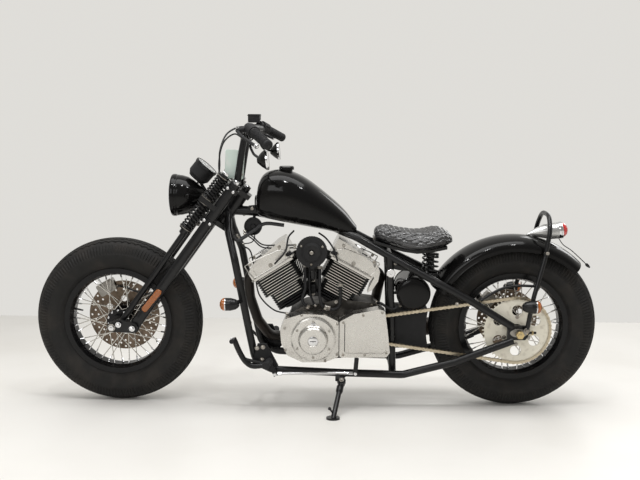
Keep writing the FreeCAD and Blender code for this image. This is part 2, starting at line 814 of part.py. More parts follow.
CASE_SHARES = [(-0.2448, -0.2191), (0.1985, -0.2732), (0.6881, -0.2268), (0.7397, -0.0258),
               (0.7242, 0.2113), (0.6108, 0.3247), (0.2629, 0.366), (-0.0077, 0.2964), (-0.2526, 0.2113)]
ALTERNATOR_SHARES = [(-0.3376, 0.0902), (-0.2912, 0.201), (-0.1108, 0.2577), (0.1211, 0.2474),
                     (0.2577, 0.1804), (0.2577, -0.1907), (0.1211, -0.2474), (-0.1108, -0.2526),
                     (-0.2655, -0.1804), (-0.3273, -0.0515)]
DRUM_SHARES = [(0, 0), (0, 1), (0.3, 1), (0.38, 0.94), (0.38, 0.67), (0.52, 0.62), (0.9, 0.62), (1, 0.57),
               (1, 0.24), (0.92, 0.2), (0.92, 0)]
SPROCKET_COVER_SHARES = [(0.2655, 0.1959), (0.4046, 0.2732), (0.6624, 0.3273), (0.7191, 0.3119),
                         (0.75, 0.1057), (0.7758, -0.1237), (0.7397, -0.1727), (0.2655, -0.1804)]
COVER_FOOT_SHARES = [(0.2655, 0.1959), (0.3144, 0.2242), (0.3144, -0.1804), (0.2655, -0.1804)]
CLUTCH_SHARES = [(-0.2912, -0.0258), (-0.2139, 0.2062), (-0.0077, 0.2629), (0.25, 0.2448),
                 (0.4691, 0.1546), (0.5077, -0.0515), (0.3273, -0.2371), (-0.0077, -0.2706),
                 (-0.2268, -0.1933)]
CLUTCH_DRUM_SHARES = [(0, 0), (0, 1), (0.6, 1), (0.8, 0.94), (0.8, 0.72), (1, 0.66), (1, 0)]


def engine_case():
    """Crankcase and gearbox in one casting, with the output sprocket on its shaft."""
    gearbox = rounded(slab(engine_spots(CASE_SHARES), -mm.crankcase_half_width, mm.crankcase_half_width),
                      mm.case_corner)
    flywheels = cross_rod(crank, mm.crank_round_radius, -mm.crankcase_half_width, mm.crankcase_half_width)
    shaft = cross_rod(output, mm.output_shaft_radius, -mm.chain_offset - mm.chain_plate_half,
                      -mm.crankcase_half_width)
    half = mm.sprocket_thickness / 2
    wheel = cross_rod(output, mm.chain_front_radius - mm.chain_roller_radius - mm.running_gap,
                      -mm.chain_offset - half, -mm.chain_offset + half)
    return joined([gearbox, flywheels, shaft, wheel])


def alternator_cover():
    """The left crank cover: a flat cast base under a stepped drum with a dished cap."""
    base = slab(engine_spots(ALTERNATOR_SHARES), -mm.cover_base_reach, -mm.crankcase_half_width)
    drum = revolved(Vector(crank.x, -mm.cover_base_reach, crank.z), Vector(0, -1, 0), DRUM_SHARES,
                    mm.alternator_reach - mm.cover_base_reach, mm.alternator_radius)
    return joined([rounded(base, mm.case_corner), drum])


def sprocket_cover():
    """The bright cover over the output sprocket, dished outside and open behind for the chain."""
    outline = engine_spots(SPROCKET_COVER_SHARES)
    face = rounded(slab(outline, -mm.sprocket_cover_reach, -mm.sprocket_cover_inner), mm.case_corner)
    dish_share = 0.84
    dish = rounded(slab(inset(outline, dish_share), -mm.sprocket_cover_reach - mm.overrun,
                        mm.cover_recess - mm.sprocket_cover_reach), mm.case_corner)
    foot = slab(engine_spots(COVER_FOOT_SHARES), -mm.sprocket_cover_inner, -mm.crankcase_half_width)
    return joined([face.cut(dish), foot])


def clutch_cover():
    """The right crank and clutch covers."""
    base = slab(engine_spots(CLUTCH_SHARES), mm.crankcase_half_width, mm.clutch_base_reach)
    rise = mm.clutch_cover_reach - mm.clutch_base_reach
    drum = revolved(engine_spot(0.2629, 0, mm.clutch_base_reach), Vector(0, 1, 0), CLUTCH_DRUM_SHARES, rise,
                    mm.clutch_cover_radius)
    cap = revolved(engine_spot(-0.0722, 0, mm.clutch_base_reach), Vector(0, 1, 0), CLUTCH_DRUM_SHARES,
                   rise / 2, mm.crank_cap_radius)
    return joined([rounded(base, mm.case_corner), drum, cap])


def onto_cylinder(shape, tilt):
    """Turns a shape built upright about the crank onto a leaning cylinder axis."""
    turned_shape = shape.copy()
    turned_shape.Placement = FreeCAD.Placement(crank, FreeCAD.Rotation(Vector(0, 1, 0), tilt))
    return turned_shape


def barrel(tilt):
    """A finned barrel: narrow fins low down, wide ones under the head."""
    parts = [Part.makeCylinder(mm.barrel_radius, mm.barrel_end - mm.barrel_start,
                               Vector(0, 0, mm.barrel_start))]
    top_share = 0.6
    for number in range(int(mm.barrel_fins)):
        height = mm.barrel_end - mm.fin_pitch * (number + top_share)
        wide = number < mm.barrel_fins / 2
        half = mm.fin_half_width if wide else mm.narrow_fin_half
        deep = mm.fin_half_depth if wide else mm.narrow_fin_half
        fin = Part.makeBox(2 * half, 2 * deep, mm.fin_thickness, Vector(-half, -deep, height))
        parts.append(rounded(fin, mm.fin_corner, Vector(0, 0, 1)))
    return onto_cylinder(joined(parts), tilt)


def cylinder_head(tilt, forward, eared):
    """A head with a rim at its joint and a dished rocker cover, its crest towards the middle of the vee."""
    wide, low, shoulder, crest = mm.fin_half_width, mm.barrel_end, mm.head_end, mm.head_crest
    deep = mm.head_half_depth
    across_shares = (-1.05, -1.05, -0.7, 0.7, 1.12, 1.12, 1.05)
    heights = (low, shoulder, (shoulder + crest) / 2, crest, crest, shoulder, low)
    corners = [Vector(-forward * across_share * wide, 0, up)
               for across_share, up in zip(across_shares, heights)]
    block = rounded(slab(corners, -deep, deep), mm.case_corner / 2)
    dish_share = 0.78
    for side in (-1, 1):
        dish = slab(inset(corners, dish_share), side * (deep - mm.head_recess), side * (deep + mm.overrun))
        block = block.cut(rounded(dish, mm.case_corner / 2))
    rim_share = 1.1
    half = rim_share * wide
    rim = Part.makeBox(2 * half, 2 * (deep + mm.head_recess), mm.head_rim,
                       Vector(-half, -deep - mm.head_recess, low))
    parts = [block, rounded(rim, mm.case_corner, Vector(0, 0, 1))]
    if eared:
        ear_shares = [(-0.9, 0.8), (-1.2, 0.55), (-1.34, 0.1), (-1.3, -0.4), (-1.18, -0.62),
                      (-1.12, -0.3), (-1.1, 0.15), (-0.95, 0.3)]
        ear = [Vector(-forward * across_share * wide, 0, low + up_share * (crest - low))
               for across_share, up_share in ear_shares]
        parts.append(slab(ear, -deep, -deep / 4))
    return onto_cylinder(joined(parts), tilt)


def carburettor():
    """The round air cleaner and the carburettor body in the vee."""
    place = engine_spot(-0.0232, 0.8737)
    bowl = cross_rod(place, mm.carburettor_radius, -mm.carburettor_reach, -mm.carburettor_inner)
    cap_shares = [(0, 0), (0, 0.66), (0.6, 0.62), (1, 0.5), (1, 0.2), (0.7, 0.16), (0.7, 0)]
    cap = revolved(Vector(place.x, -mm.carburettor_reach, place.z), Vector(0, -1, 0), cap_shares,
                   mm.carburettor_cap, mm.carburettor_radius)
    throat = cross_rod(place, mm.pipe_radius, -mm.carburettor_inner, mm.pipe_radius)
    ports = [rod(place, end, mm.pipe_radius - mm.pipe_wall)
             for end in (engine_spot(-0.268, 0.7577), engine_spot(0.2216, 0.7577))]
    return joined([bowl, cap, throat, *ports])


front_tilt = -mm.front_cylinder_angle
rear_tilt = mm.rear_cylinder_angle
case_shape = engine_case()
alternator_shape = alternator_cover()
case_group = Part.makeCompound([case_shape, alternator_shape])
front_barrel = barrel(front_tilt).cut(case_group)
rear_barrel = barrel(rear_tilt).cut(case_group)
front_head = cylinder_head(front_tilt, -1, False)
rear_head = cylinder_head(rear_tilt, 1, True)
shaped("engine_case", case_shape)
shaped("alternator_cover", alternator_shape)
shaped("sprocket_cover", sprocket_cover())
shaped("clutch_cover", clutch_cover())
shaped("front_barrel", front_barrel)
shaped("rear_barrel", rear_barrel)
shaped("front_head", front_head)
shaped("rear_head", rear_head)
shaped("carburettor", carburettor().cut([front_head, rear_head, front_barrel, rear_barrel]))


# Exhaust, on the right side

def exhaust():
    """Two headers run down the right side into one straight muffler."""
    front_shares = [(-0.5747, 0.6392, 0.1), (-0.7062, 0.5515, 0.14), (-0.6959, 0.3093, 0.25),
                    (-0.6211, 0.0387, 0.42), (-0.4974, -0.1649, 0.62), (-0.2655, -0.2216, 1),
                    (0.4691, -0.1933, 1)]
    rear_shares = [(0.5696, 0.6572, 0.12), (0.6985, 0.5799, 0.22), (0.6727, 0.3351, 0.6),
                   (0.6211, -0.0258, 0.97), (0.5387, -0.1804, 1)]
    front = [engine_spot(x, z, share * mm.muffler_offset) for x, z, share in front_shares]
    rear = [engine_spot(x, z, share * mm.muffler_offset) for x, z, share in rear_shares]
    start = front[-1]
    run = polar(Vector(0, 0, 0), 1, mm.muffler_rise)
    front.append(start + run * mm.muffler_radius)
    can_shares = [(0, 0), (0, 0.63), (0.09, 1), (0.92, 1), (0.97, 0.82), (1, 0.82), (1, 0.6), (0.88, 0.6),
                  (0.88, 0)]
    can = revolved(start, run, can_shares, mm.muffler_length, mm.muffler_radius)
    clamps = [rod(pipe[0], pipe[0] + (pipe[1] - pipe[0]).normalize() * mm.pipe_clamp,
                  mm.pipe_radius + mm.pipe_wall) for pipe in (front, rear)]
    hang_share = 0.68
    hang = start + run * (hang_share * mm.muffler_length)
    rail_drop = 2 * mm.pipe_radius + mm.frame_tube_radius
    hanger = rod(hang, Vector(hang.x, mm.rail_rear_half, hang.z - rail_drop), mm.lever_radius)
    pipes = joined([tube(front, mm.pipe_radius, mm.rail_bend_radius),
                    tube(rear, mm.pipe_radius, mm.rail_bend_radius), can, *clamps, hanger])
    return largest(pipes.cut([front_head, rear_head, right_shape]))


shaped("exhaust", exhaust())


# Tank, seat and rear end

TANK_SHARES = [(0.076, 0.9829, 1.0488, 0.36), (0.0875, 0.9549, 1.1, 0.68), (0.1078, 0.9402, 1.1537, 0.87),
               (0.1431, 0.9293, 1.1732, 0.97), (0.189, 0.9171, 1.172, 1), (0.2491, 0.9024, 1.139, 0.97),
               (0.311, 0.8866, 1.078, 0.85), (0.364, 0.8707, 1.0171, 0.67),
               (0.4081, 0.8585, 0.9537, 0.46), (0.4355, 0.8537, 0.9024, 0.24)]
TUNNEL_SHARES = [(0.0371, 0.8415), (0.0371, 0.9756), (0.0724, 0.9695), (0.3463, 0.9), (0.3949, 0.8732),
                 (0.4523, 0.8415)]
SEAT_SHARES = [(0.4929, 0.8463, 0.8854, 0.34), (0.5141, 0.8341, 0.9098, 0.55),
               (0.5583, 0.8159, 0.9, 0.72), (0.6025, 0.8012, 0.8866, 0.86),
               (0.6466, 0.7927, 0.8805, 0.96), (0.6926, 0.7976, 0.889, 1), (0.735, 0.8098, 0.8963, 0.93),
               (0.7659, 0.8244, 0.8805, 0.7), (0.7783, 0.8366, 0.8634, 0.4)]


def fuel_tank():
    """A teardrop tank over the backbone, blunt in front and drawn out behind."""
    margin = mm.tank_clearance
    tunnel = tube(spots(BACKBONE_SHARES), mm.backbone_radius + margin, mm.rail_bend_radius * 2)
    tunnel_box = slab(spots(TUNNEL_SHARES), -mm.backbone_radius - margin, mm.backbone_radius + margin)
    rails = [upper_rail(side, mm.frame_tube_radius + margin) for side in (-1, 1)]
    return largest(lofted(TANK_SHARES, mm.tank_half_width).cut([tunnel, tunnel_box, *rails]))


def tank_cap():
    """A screw cap with a knurled step, seated on the tank's crown."""
    cap_shares = [(0, 0), (0, 0.8), (0.45, 0.8), (0.5, 1), (0.85, 1), (1, 0.86), (1, 0)]
    cap = revolved(spot(0.1864, 1.1585), Vector(0, 0, 1), cap_shares, mm.tank_cap_height + mm.tank_cap_root,
                   mm.tank_cap_radius)
    return max(cap.cut(tank_shape).Solids, key=lambda solid: solid.CenterOfMass.z)


def spring_shares(outer, wire, turns):
    """Half section of a close coil spring as shares: a toothed outside round a hollow core."""
    inner_share, root_share = 1 - 2 * wire / outer, 1 - wire / outer
    table_shares = [(0, inner_share), (0, root_share)]
    for number in range(int(turns)):
        table_shares.append(((number + 1 / 2) / turns, 1))
        table_shares.append(((number + 1) / turns, root_share))
    return table_shares + [(1, inner_share)]


def seat_base():
    """Seat pan with its front hinge, and two coil springs standing on the cross tube."""
    pan_shares = [(0.4965, 0.8439), (0.5583, 0.8183), (0.6025, 0.8037), (0.6466, 0.7951), (0.6926, 0.8),
                  (0.7527, 0.8183)]
    top = spots(pan_shares)
    under = [point - Vector(0, 0, 2 * mm.seat_pan) for point in reversed(top)]
    pan = slab(top + under, -mm.seat_pan_half, mm.seat_pan_half)
    hinge = rod(spot(0.5009, 0.8366), spot(0.4965, 0.8098), mm.lever_radius)
    springs = []
    wire_share = spring_shares(mm.seat_spring_radius, mm.seat_spring_wire, mm.seat_spring_turns)
    for side in (-1, 1):
        below = seat_cross + Vector(0, side * mm.seat_spring_half, 0)
        low = below + Vector(-mm.stay_tube_radius, 0, mm.fender_edge_radius / 2)
        rise = Vector(0, 0, mm.seat_spring_height)
        springs.append(rod(low, below, mm.signal_stalk_radius))
        springs.append(revolved(low, rise, wire_share, mm.seat_spring_height, mm.seat_spring_radius))
        springs.append(rod(low, low + rise, mm.seat_spring_radius - 2 * mm.seat_spring_wire + mm.fit_gap))
    cushion_room = seat_shape.copy()
    cushion_room.translate(Vector(0, 0, -mm.fit_gap))
    return joined([pan, hinge, *springs]).cut([centre_shape, left_shape, right_shape, cushion_room])


def swept_section(outline, start_angle, end_angle):
    """A closed (across, out) outline turned about the rear axle between two angles."""
    sweep = Part.Face(outline).revolve(Vector(0, 0, 0), Vector(0, 1, 0), start_angle - end_angle)
    sweep.Placement = FreeCAD.Placement(rear_axle, FreeCAD.Rotation(Vector(0, 1, 0), 90 - start_angle))
    return sweep


def fender_outline():
    """The rear fender's cross-section: a thin crown with rolled shoulders and flat skirts."""
    low = fender_radius - mm.fender_skirt
    rows = []
    for wall in (0, mm.fender_thickness):
        half, top, edge = mm.fender_half_width - wall, fender_radius - wall, mm.fender_edge_radius - wall
        diagonal = edge * (1 - math.sqrt(1 / 2))
        places = [(-half, low), (-half, top - edge), (diagonal - half, top - diagonal), (edge - half, top),
                  (half - edge, top), (half - diagonal, top - diagonal), (half, top - edge), (half, low)]
        rows.append([Vector(0, across, out) for across, out in places])
    edges = []
    for row in rows:
        edges += [Part.LineSegment(row[0], row[1]), Part.Arc(*row[1:4]), Part.LineSegment(row[3], row[4]),
                  Part.Arc(*row[4:7]), Part.LineSegment(row[6], row[7])]
    edges += [Part.LineSegment(rows[0][0], rows[1][0]), Part.LineSegment(rows[0][7], rows[1][7])]
    return Part.Wire(Part.sortEdges([edge.toShape() for edge in edges])[0])


def fender_hoop():
    """The hoop over the fender, bolted to both axle plates and to the fender's skirts."""
    hoop_shares = [(0.0806, 0.0363, 1), (0.1344, 0.3938, 1), (0.2581, 0.8105, 0.76),
                   (0.3011, 1.0847, 0.68), (0.3145, 1.2298, 0.36)]
    flat = mm.rail_rear_half + mm.axle_plate / 2
    outside = flat + mm.stay_tube_radius + mm.fit_gap
    left = [rear_spot(x, z, -share * outside) for x, z, share in hoop_shares]
    right = [rear_spot(x, z, share * outside) for x, z, share in reversed(hoop_shares)]
    hoop = tube(left + right, mm.stay_tube_radius, mm.rail_bend_radius)
    stay_share = 0.887
    stay = polar(rear_axle, stay_share * fender_radius, mm.fender_stay_angle)
    feet = []
    for side in (-1, 1):
        feet.append(cross_rod(left[0], mm.stay_foot_radius, side * flat,
                              side * (outside + mm.stay_tube_radius / 2)))
        feet.append(cross_rod(stay, mm.lever_radius, side * (mm.fender_half_width + mm.fit_gap),
                              side * (mm.fender_half_width + 2 * mm.stay_tube_radius)))
    return joined([hoop, *feet])


def tail_lamp():
    """The tail lamp's bright bowl and its arm on the fender."""
    bowl_shares = [(0, 0), (0, 0.45), (0.35, 0.78), (0.7, 0.95), (0.83, 1), (1, 1), (1, 0)]
    bowl = revolved(tail_start, tail_way, bowl_shares, mm.tail_lamp_length, mm.tail_lamp_radius)
    arm = tube([rear_spot(0.1559, 0.9825), rear_spot(0.2419, 1.0148),
                tail_start + tail_way * mm.stay_tube_radius], mm.stay_tube_radius, mm.rail_bend_radius)
    return largest(joined([bowl, arm]).cut(fender_shape))


def signal_places():
    """Centre, stalk start and facing of each turn signal on the left side."""
    hoop_y = -(mm.rail_rear_half + mm.axle_plate / 2 + mm.stay_tube_radius)
    return ((spot(0.0097, 0.5561, -mm.signal_offset), spot(0.0398, 0.5561, -mm.frame_half_width),
             Vector(-1, 0, 0)),
            (rear_spot(0.0753, 0.3078, -mm.rear_signal_offset), rear_spot(0.1237, 0.3078, hoop_y),
             Vector(1, 0, 0)))


def turn_signals():
    """Bullet turn signal housings and their stalks, both sides."""
    bullet_shares = [(0, 0), (0, 0.3), (0.1, 0.58), (0.25, 0.8), (0.6, 1), (1, 1), (1, 0)]
    bodies = []
    for centre, stalk_start, facing in signal_places():
        bullet = revolved(centre - facing * (mm.signal_length / 2), facing, bullet_shares, mm.signal_length,
                          mm.signal_radius)
        stalk = rod(stalk_start, centre, mm.signal_stalk_radius)
        bodies.append(joined([bullet, stalk]).cut([left_shape, hoop_shape]))
    return Part.makeCompound(bodies + [mirrored(body) for body in bodies])


LENS_SHARES = [(0, 0), (0, 1), (0.35, 0.97), (0.75, 0.75), (1, 0.4), (1, 0)]
tail_start = rear_spot(0.3441, 1.0309)
tail_way = polar(Vector(0, 0, 0), 1, mm.tail_lamp_rise)
tank_shape = fuel_tank()
seat_shape = lofted(SEAT_SHARES, mm.seat_half_width)
fender_shape = swept_section(fender_outline(), mm.fender_front_angle, mm.fender_rear_angle)
hoop_shape = fender_hoop()
shaped("fuel_tank", tank_shape)
shaped("tank_cap", tank_cap())
shaped("seat_cushion", seat_shape)
shaped("seat_base", seat_base())
shaped("rear_fender", fender_shape)
shaped("fender_hoop", hoop_shape)
shaped("tail_lamp", tail_lamp())
turned("tail_lens", formulas(LENS_SHARES, "tail_lens_length", "tail_lens_radius"),
       tail_start + tail_way * (mm.tail_lamp_length + mm.fit_gap), tail_way)
shaped("turn_signals", turn_signals())
mirrored_pair("turn_signal_lenses", [
    turned_body(f"signal_lens_{number}", formulas(LENS_SHARES, "signal_lens_length", "signal_radius"),
                centre + facing * (mm.signal_length / 2 + mm.fit_gap), facing)
    for number, (centre, stalk_start, facing) in enumerate(signal_places())])


# Between the engine and the rear wheel

def oil_can():
    """The round gloss can behind the engine, rolled at both ends and strapped to the seat tubes."""
    place = spot(0.6369, 0.5866)
    can_shares = [(0, 0), (0, 0.88), (0.02, 0.9), (0.02, 0.97), (0.03, 1), (0.06, 1), (0.08, 0.97),
                  (0.92, 0.97), (0.94, 1), (0.97, 1), (0.98, 0.97), (0.98, 0.9), (1, 0.88), (1, 0)]
    can = revolved(Vector(place.x, -mm.oil_can_half_length, place.z), Vector(0, 1, 0), can_shares,
                   2 * mm.oil_can_half_length, mm.oil_can_radius)
    reach = Vector(-mm.oil_can_radius - mm.frame_tube_radius, 0, 0)
    sides = [place + Vector(0, side * mm.seat_tube_half, 0) for side in (-1, 1)]
    straps = [rod(start, start + reach, mm.lever_radius) for start in sides]
    return joined([can, *straps]).cut(centre_shape)


def battery_box():
    """The battery box, its rear wall curved round the tyre."""
    box_shares = [(0.5724, 0.3049), (0.5724, 0.4976), (0.7527, 0.4976), (0.7527, 0.3049)]
    box = slab(spots(box_shares), -mm.battery_half_width, mm.battery_half_width)
    tyre_room = cross_rod(rear_axle, mm.rear_tyre_radius + mm.tyre_clearance,
                          -2 * mm.battery_half_width, 2 * mm.battery_half_width)
    return box.cut([tyre_room, centre_shape])


def ignition_switch():
    """The key switch on the left seat tube."""
    place = spot(0.5548, 0.6927)
    root = -mm.seat_tube_half - mm.frame_tube_radius + mm.ignition_length / 2
    switch_shares = [(0, 0), (0, 0.8), (0.75, 0.8), (0.78, 1), (0.96, 1), (1, 0.9), (1, 0.3),
                     (0.93, 0.25), (0.93, 0)]
    switch = revolved(Vector(place.x, root, place.z), Vector(0, -1, 0), switch_shares,
                      3 * mm.ignition_length / 2, mm.ignition_radius)
    return switch.cut(centre_shape)


def horn():
    """A small horn under the backbone, facing left."""
    place = spot(0.0689, 0.9)
    horn_shares = [(0, 0), (0, 0.5), (0.5, 0.62), (0.6, 1), (1, 1), (1, 0.86), (0.85, 0.8), (0.85, 0.3),
                   (1, 0.22), (1, 0)]
    disc = revolved(place, Vector(0, -1, 0), horn_shares, mm.horn_depth, mm.horn_radius)
    stalk = rod(Vector(place.x, -mm.horn_depth / 4, place.z), spot(0.0724, 0.9695), mm.lever_radius)
    return joined([disc, stalk]).cut(centre_shape)


def chain_loop(grow):
    """The chain's side outline, offset outwards from its pitch line."""
    front_radius, rear_radius = mm.chain_front_radius + grow, mm.chain_rear_radius + grow
    run = rear_axle - output
    slope = math.atan2(run.z, run.x)
    wrap = math.acos((front_radius - rear_radius) / run.Length)

    def rim_point(centre, radius, angle):
        return Vector(centre.x + radius * math.cos(angle), 0, centre.z + radius * math.sin(angle))
    front_high, rear_high = (rim_point(centre, radius, slope + wrap) for centre, radius in (
        (output, front_radius), (rear_axle, rear_radius)))
    front_low, rear_low = (rim_point(centre, radius, slope - wrap) for centre, radius in (
        (output, front_radius), (rear_axle, rear_radius)))
    front_mid = rim_point(output, front_radius, slope + math.pi)
    rear_mid = rim_point(rear_axle, rear_radius, slope)
    edges = [Part.LineSegment(front_high, rear_high), Part.Arc(rear_high, rear_mid, rear_low),
             Part.LineSegment(rear_low, front_low), Part.Arc(front_low, front_mid, front_high)]
    return Part.Wire([edge.toShape() for edge in edges])


def chain():
    """The final drive chain: two rows of plates joined by a pin and roller at every pitch."""
    rise, half, thick = mm.chain_plate_rise, mm.chain_plate_half, mm.chain_plate
    band = Part.Face(chain_loop(rise)).cut(Part.Face(chain_loop(-rise)))
    rows = []
    for low in (-mm.chain_offset - half, -mm.chain_offset + half - thick):
        row = band.extrude(Vector(0, thick, 0))
        row.translate(Vector(0, low, 0))
        rows.append(row)
    pitch_line = chain_loop(0)
    links = round(pitch_line.Length / mm.chain_pitch)
    rollers = [slab([polar(point, mm.chain_roller_radius, 60 * corner) for corner in range(6)],
                    -mm.chain_offset - half + thick / 2, -mm.chain_offset + half - thick / 2)
               for point in pitch_line.discretize(links + 1)[:-1]]
    return joined([*rows, *rollers])


shaped("oil_can", oil_can())
shaped("battery_box", battery_box())
shaped("ignition_switch", ignition_switch())
shaped("horn", horn())
shaped("chain", chain())


# Brake calipers

def caliper(place, disc_radius, disc_offset, degrees):
    """A brake caliper straddling the disc, on an arm that sits on the axle's spacer."""
    across = polar(Vector(0, 0, 0), 1, degrees)
    along = Vector(-across.z, 0, across.x)
    half, long, wall = mm.caliper_half_width, mm.caliper_half_length, mm.caliper_wall
    low, high = disc_offset - half, disc_offset + half
    deep = -mm.caliper_depth
    corners = [place + across * (disc_radius + reach) + along * run
               for reach, run in ((deep, -long), (wall, -long), (wall, long), (deep, long))]
    body = rounded(slab(corners, low, high), wall / 2)
    room = mm.disc_thickness / 2 + mm.disc_clearance
    slot = cross_rod(place, disc_radius + mm.disc_clearance, disc_offset - room, disc_offset + room)
    pin = mm.caliper_pin_radius
    crown = place + across * (disc_radius + wall - pin)
    pins = [cross_rod(crown + along * (side * long / 2), pin, low - pin, high + pin) for side in (-1, 1)]
    arm_low = high - wall / 2
    tip = place + across * (disc_radius - mm.caliper_depth / 2)
    side = along * wall
    arm = slab([place - side, tip - side, tip + side, place + side], arm_low, high)
    ring = cross_rod(place, mm.spacer_radius + wall / 2, arm_low, high)
    seat = cross_rod(place, mm.spacer_radius + mm.fit_gap, arm_low - mm.overrun, high + mm.overrun)
    return joined([body.cut(slot), *pins, arm, ring]).cut(seat)


shaped("rear_caliper",
       caliper(rear_axle, mm.rear_disc_radius, mm.rear_disc_offset, mm.rear_caliper_angle))
shaped("front_caliper",
       caliper(front_axle, mm.front_disc_radius, mm.front_disc_offset, mm.front_caliper_angle))


# Foot controls

def foot_peg(side):
    """A ridged rubber peg on its stub."""
    start = spot(0.136, 0.261, side * mm.frame_half_width)
    end = spot(0.129, 0.2829, side * (mm.frame_half_width + mm.control_reach + mm.peg_length))
    knuckle = start + (end - start) * (mm.control_reach / (end - start).Length)
    stub_share, groove_share, land_share = 0.7, 0.84, 0.3
    peg_shares = [(0, 0), (0, groove_share)]
    for ridge in range(int(mm.peg_ridges)):
        for part_share, out_share in ((land_share / 2, 1), (1 - land_share, 1), (1, groove_share)):
            peg_shares.append(((ridge + part_share) / mm.peg_ridges, out_share))
    peg_shares.append((1, 0))
    return [rod(start, knuckle, mm.peg_radius * stub_share),
            revolved(knuckle, end - knuckle, peg_shares, (end - knuckle).Length, mm.peg_radius)]


def control_bracket(side):
    """The plate on the lower frame corner that carries peg and pedal."""
    bracket_shares = [(0.0724, 0.25), (0.0919, 0.3476), (0.1237, 0.3476), (0.1643, 0.239), (0.1431, 0.2098)]
    inner = side * (mm.frame_half_width + mm.frame_tube_radius)
    boss = cross_rod(spot(0.1431, 0.2146), mm.cross_tube_radius, side * mm.frame_half_width, inner)
    return [slab(spots(bracket_shares), inner, inner + side * mm.axle_plate), boss]


def link_arm(top, bottom, middle):
    """A flat lever between two pivots, centred on a lateral offset."""
    half_wide, half_thick = mm.link_arm_width / 2, mm.link_arm_thickness / 2
    run = (top - bottom).normalize()
    across = Vector(run.z, 0, -run.x) * half_wide
    corners = [bottom - run * half_wide + across, bottom - run * half_wide - across,
               top + run * half_wide - across, top + run * half_wide + across]
    return slab(corners, middle - half_thick, middle + half_thick)


def foot_controls_left():
    """Left foot peg, shift lever and the rod that runs back to the gearbox."""
    near = -(mm.frame_half_width + mm.control_reach)
    outside = near - mm.peg_length / 2
    lever = tube([spot(0.1193, 0.2537, near), spot(0.0451, 0.2793, near), spot(0.0124, 0.3659, near)],
                 mm.lever_radius, mm.rail_bend_radius / 2)
    tip = rod(spot(0.0124, 0.3659, near), spot(0.0088, 0.3817, outside), mm.stay_tube_radius)
    hub = cross_rod(spot(0.1272, 0.2561), mm.cross_tube_radius, near - mm.lever_radius,
                    near + mm.lever_radius)
    gear_shaft, gear_joint = engine_spot(0.4407, -0.2113), engine_spot(0.4304, -0.3454)
    drop_joint = spot(0.1546, 0.2061)
    drop = link_arm(spot(0.136, 0.261), drop_joint, near)
    link = rod(drop_joint + Vector(0, near, 0), gear_joint + Vector(0, near, 0), mm.link_radius)
    rise = link_arm(gear_shaft, gear_joint, near)
    shaft = cross_rod(gear_shaft, mm.lever_radius, near, -mm.crankcase_half_width)
    everything = joined([*foot_peg(-1), *control_bracket(-1), lever, tip, hub, drop, link, rise, shaft])
    return everything.cut([left_shape, case_shape])


def foot_controls_right():
    """Right foot peg and brake pedal."""
    near = mm.frame_half_width + mm.control_reach
    pedal = tube([spot(0.1272, 0.2585, near), spot(0.0724, 0.2622, near), spot(0.03, 0.3195, near)],
                 mm.lever_radius, mm.rail_bend_radius / 2)
    pad = rod(spot(0.03, 0.3195, near - mm.cross_tube_radius),
              spot(0.0265, 0.3293, near + mm.peg_length / 2), mm.cross_tube_radius)
    return joined([*foot_peg(1), *control_bracket(1), pedal, pad]).cut([right_shape])


shaped("foot_controls_left", foot_controls_left())
shaped("foot_controls_right", foot_controls_right().cut(nodes["exhaust"].Shape))


# Springer fork, turning about the steering head

def head_plate(outline, along, thickness):
    """A plate square to the steering axis, from (ahead, side) corners."""
    corners = [fork(along, ahead, side) for ahead, side in outline]
    face = Part.Face(Part.makePolygon(corners + corners[:1]))
    return rounded(face.extrude(steer_up * thickness), mm.tree_margin / 4, steer_up)


def tree_outline():
    """A fork tree: a waist round the neck and a lobe round each leg."""
    waist_share, neck_share = 0.8, 1.35
    reach, tip = mm.leg_offset, leg_half
    wide, margin = mm.leg_radius + mm.tree_margin / 2, mm.neck_radius + mm.tree_margin / 2
    waist = reach - mm.leg_radius
    half = [(-margin, waist_share * margin), (waist, neck_share * margin), (waist, tip - mm.leg_radius),
            (reach - wide, tip - wide / 3), (reach - wide, tip + wide / 2), (reach, tip + wide),
            (reach + wide, tip + wide / 2)]
    return [(ahead, -side) for ahead, side in half] + half[::-1]


def fork_trees():
    """Upper and lower trees, steering stem and the spring plate between them."""
    low_along = -mm.neck_low - mm.running_gap * 2 - mm.tree_thickness
    stem = rod(fork(low_along, 0), fork(top_along + mm.tree_thickness + mm.tree_margin, 0),
               mm.neck_bore_radius - mm.fit_gap)
    plate_front = mm.spring_leg_offset + mm.spring_outer_radius
    plate_back = mm.leg_offset + mm.leg_radius / 8
    wide = leg_half + mm.leg_radius
    corners = [(plate_back, -wide), (plate_front, -wide), (plate_front, wide), (plate_back, wide)]
    spring_plate = head_plate(corners, spring_plate_low, mm.tree_thickness)
    return joined([head_plate(tree_outline(), top_along, mm.tree_thickness),
                   head_plate(tree_outline(), low_along, mm.tree_thickness), stem, spring_plate])


def rocker_place(side, reach, rise):
    return front_axle + Vector(reach, side, rise)


def fork_leg(side):
    """One rigid rear leg, from above the top tree down to the rocker pivot."""
    foot = rocker_place(side * leg_half, mm.rocker_rear_reach, -mm.rocker_rear_drop)
    leg = rod(fork(mm.leg_above_head, mm.leg_offset, side * leg_half), foot, mm.leg_radius)
    eye = cross_rod(foot, mm.leg_foot_radius, side * (leg_half - mm.rocker_thickness),
                    side * (rocker_inner - mm.fit_gap))
    beyond = cross_rod(foot, 2 * mm.leg_foot_radius, side * (rocker_inner - mm.fit_gap),
                       side * 2 * rocker_outer)
    return joined([leg, eye]).cut(beyond)


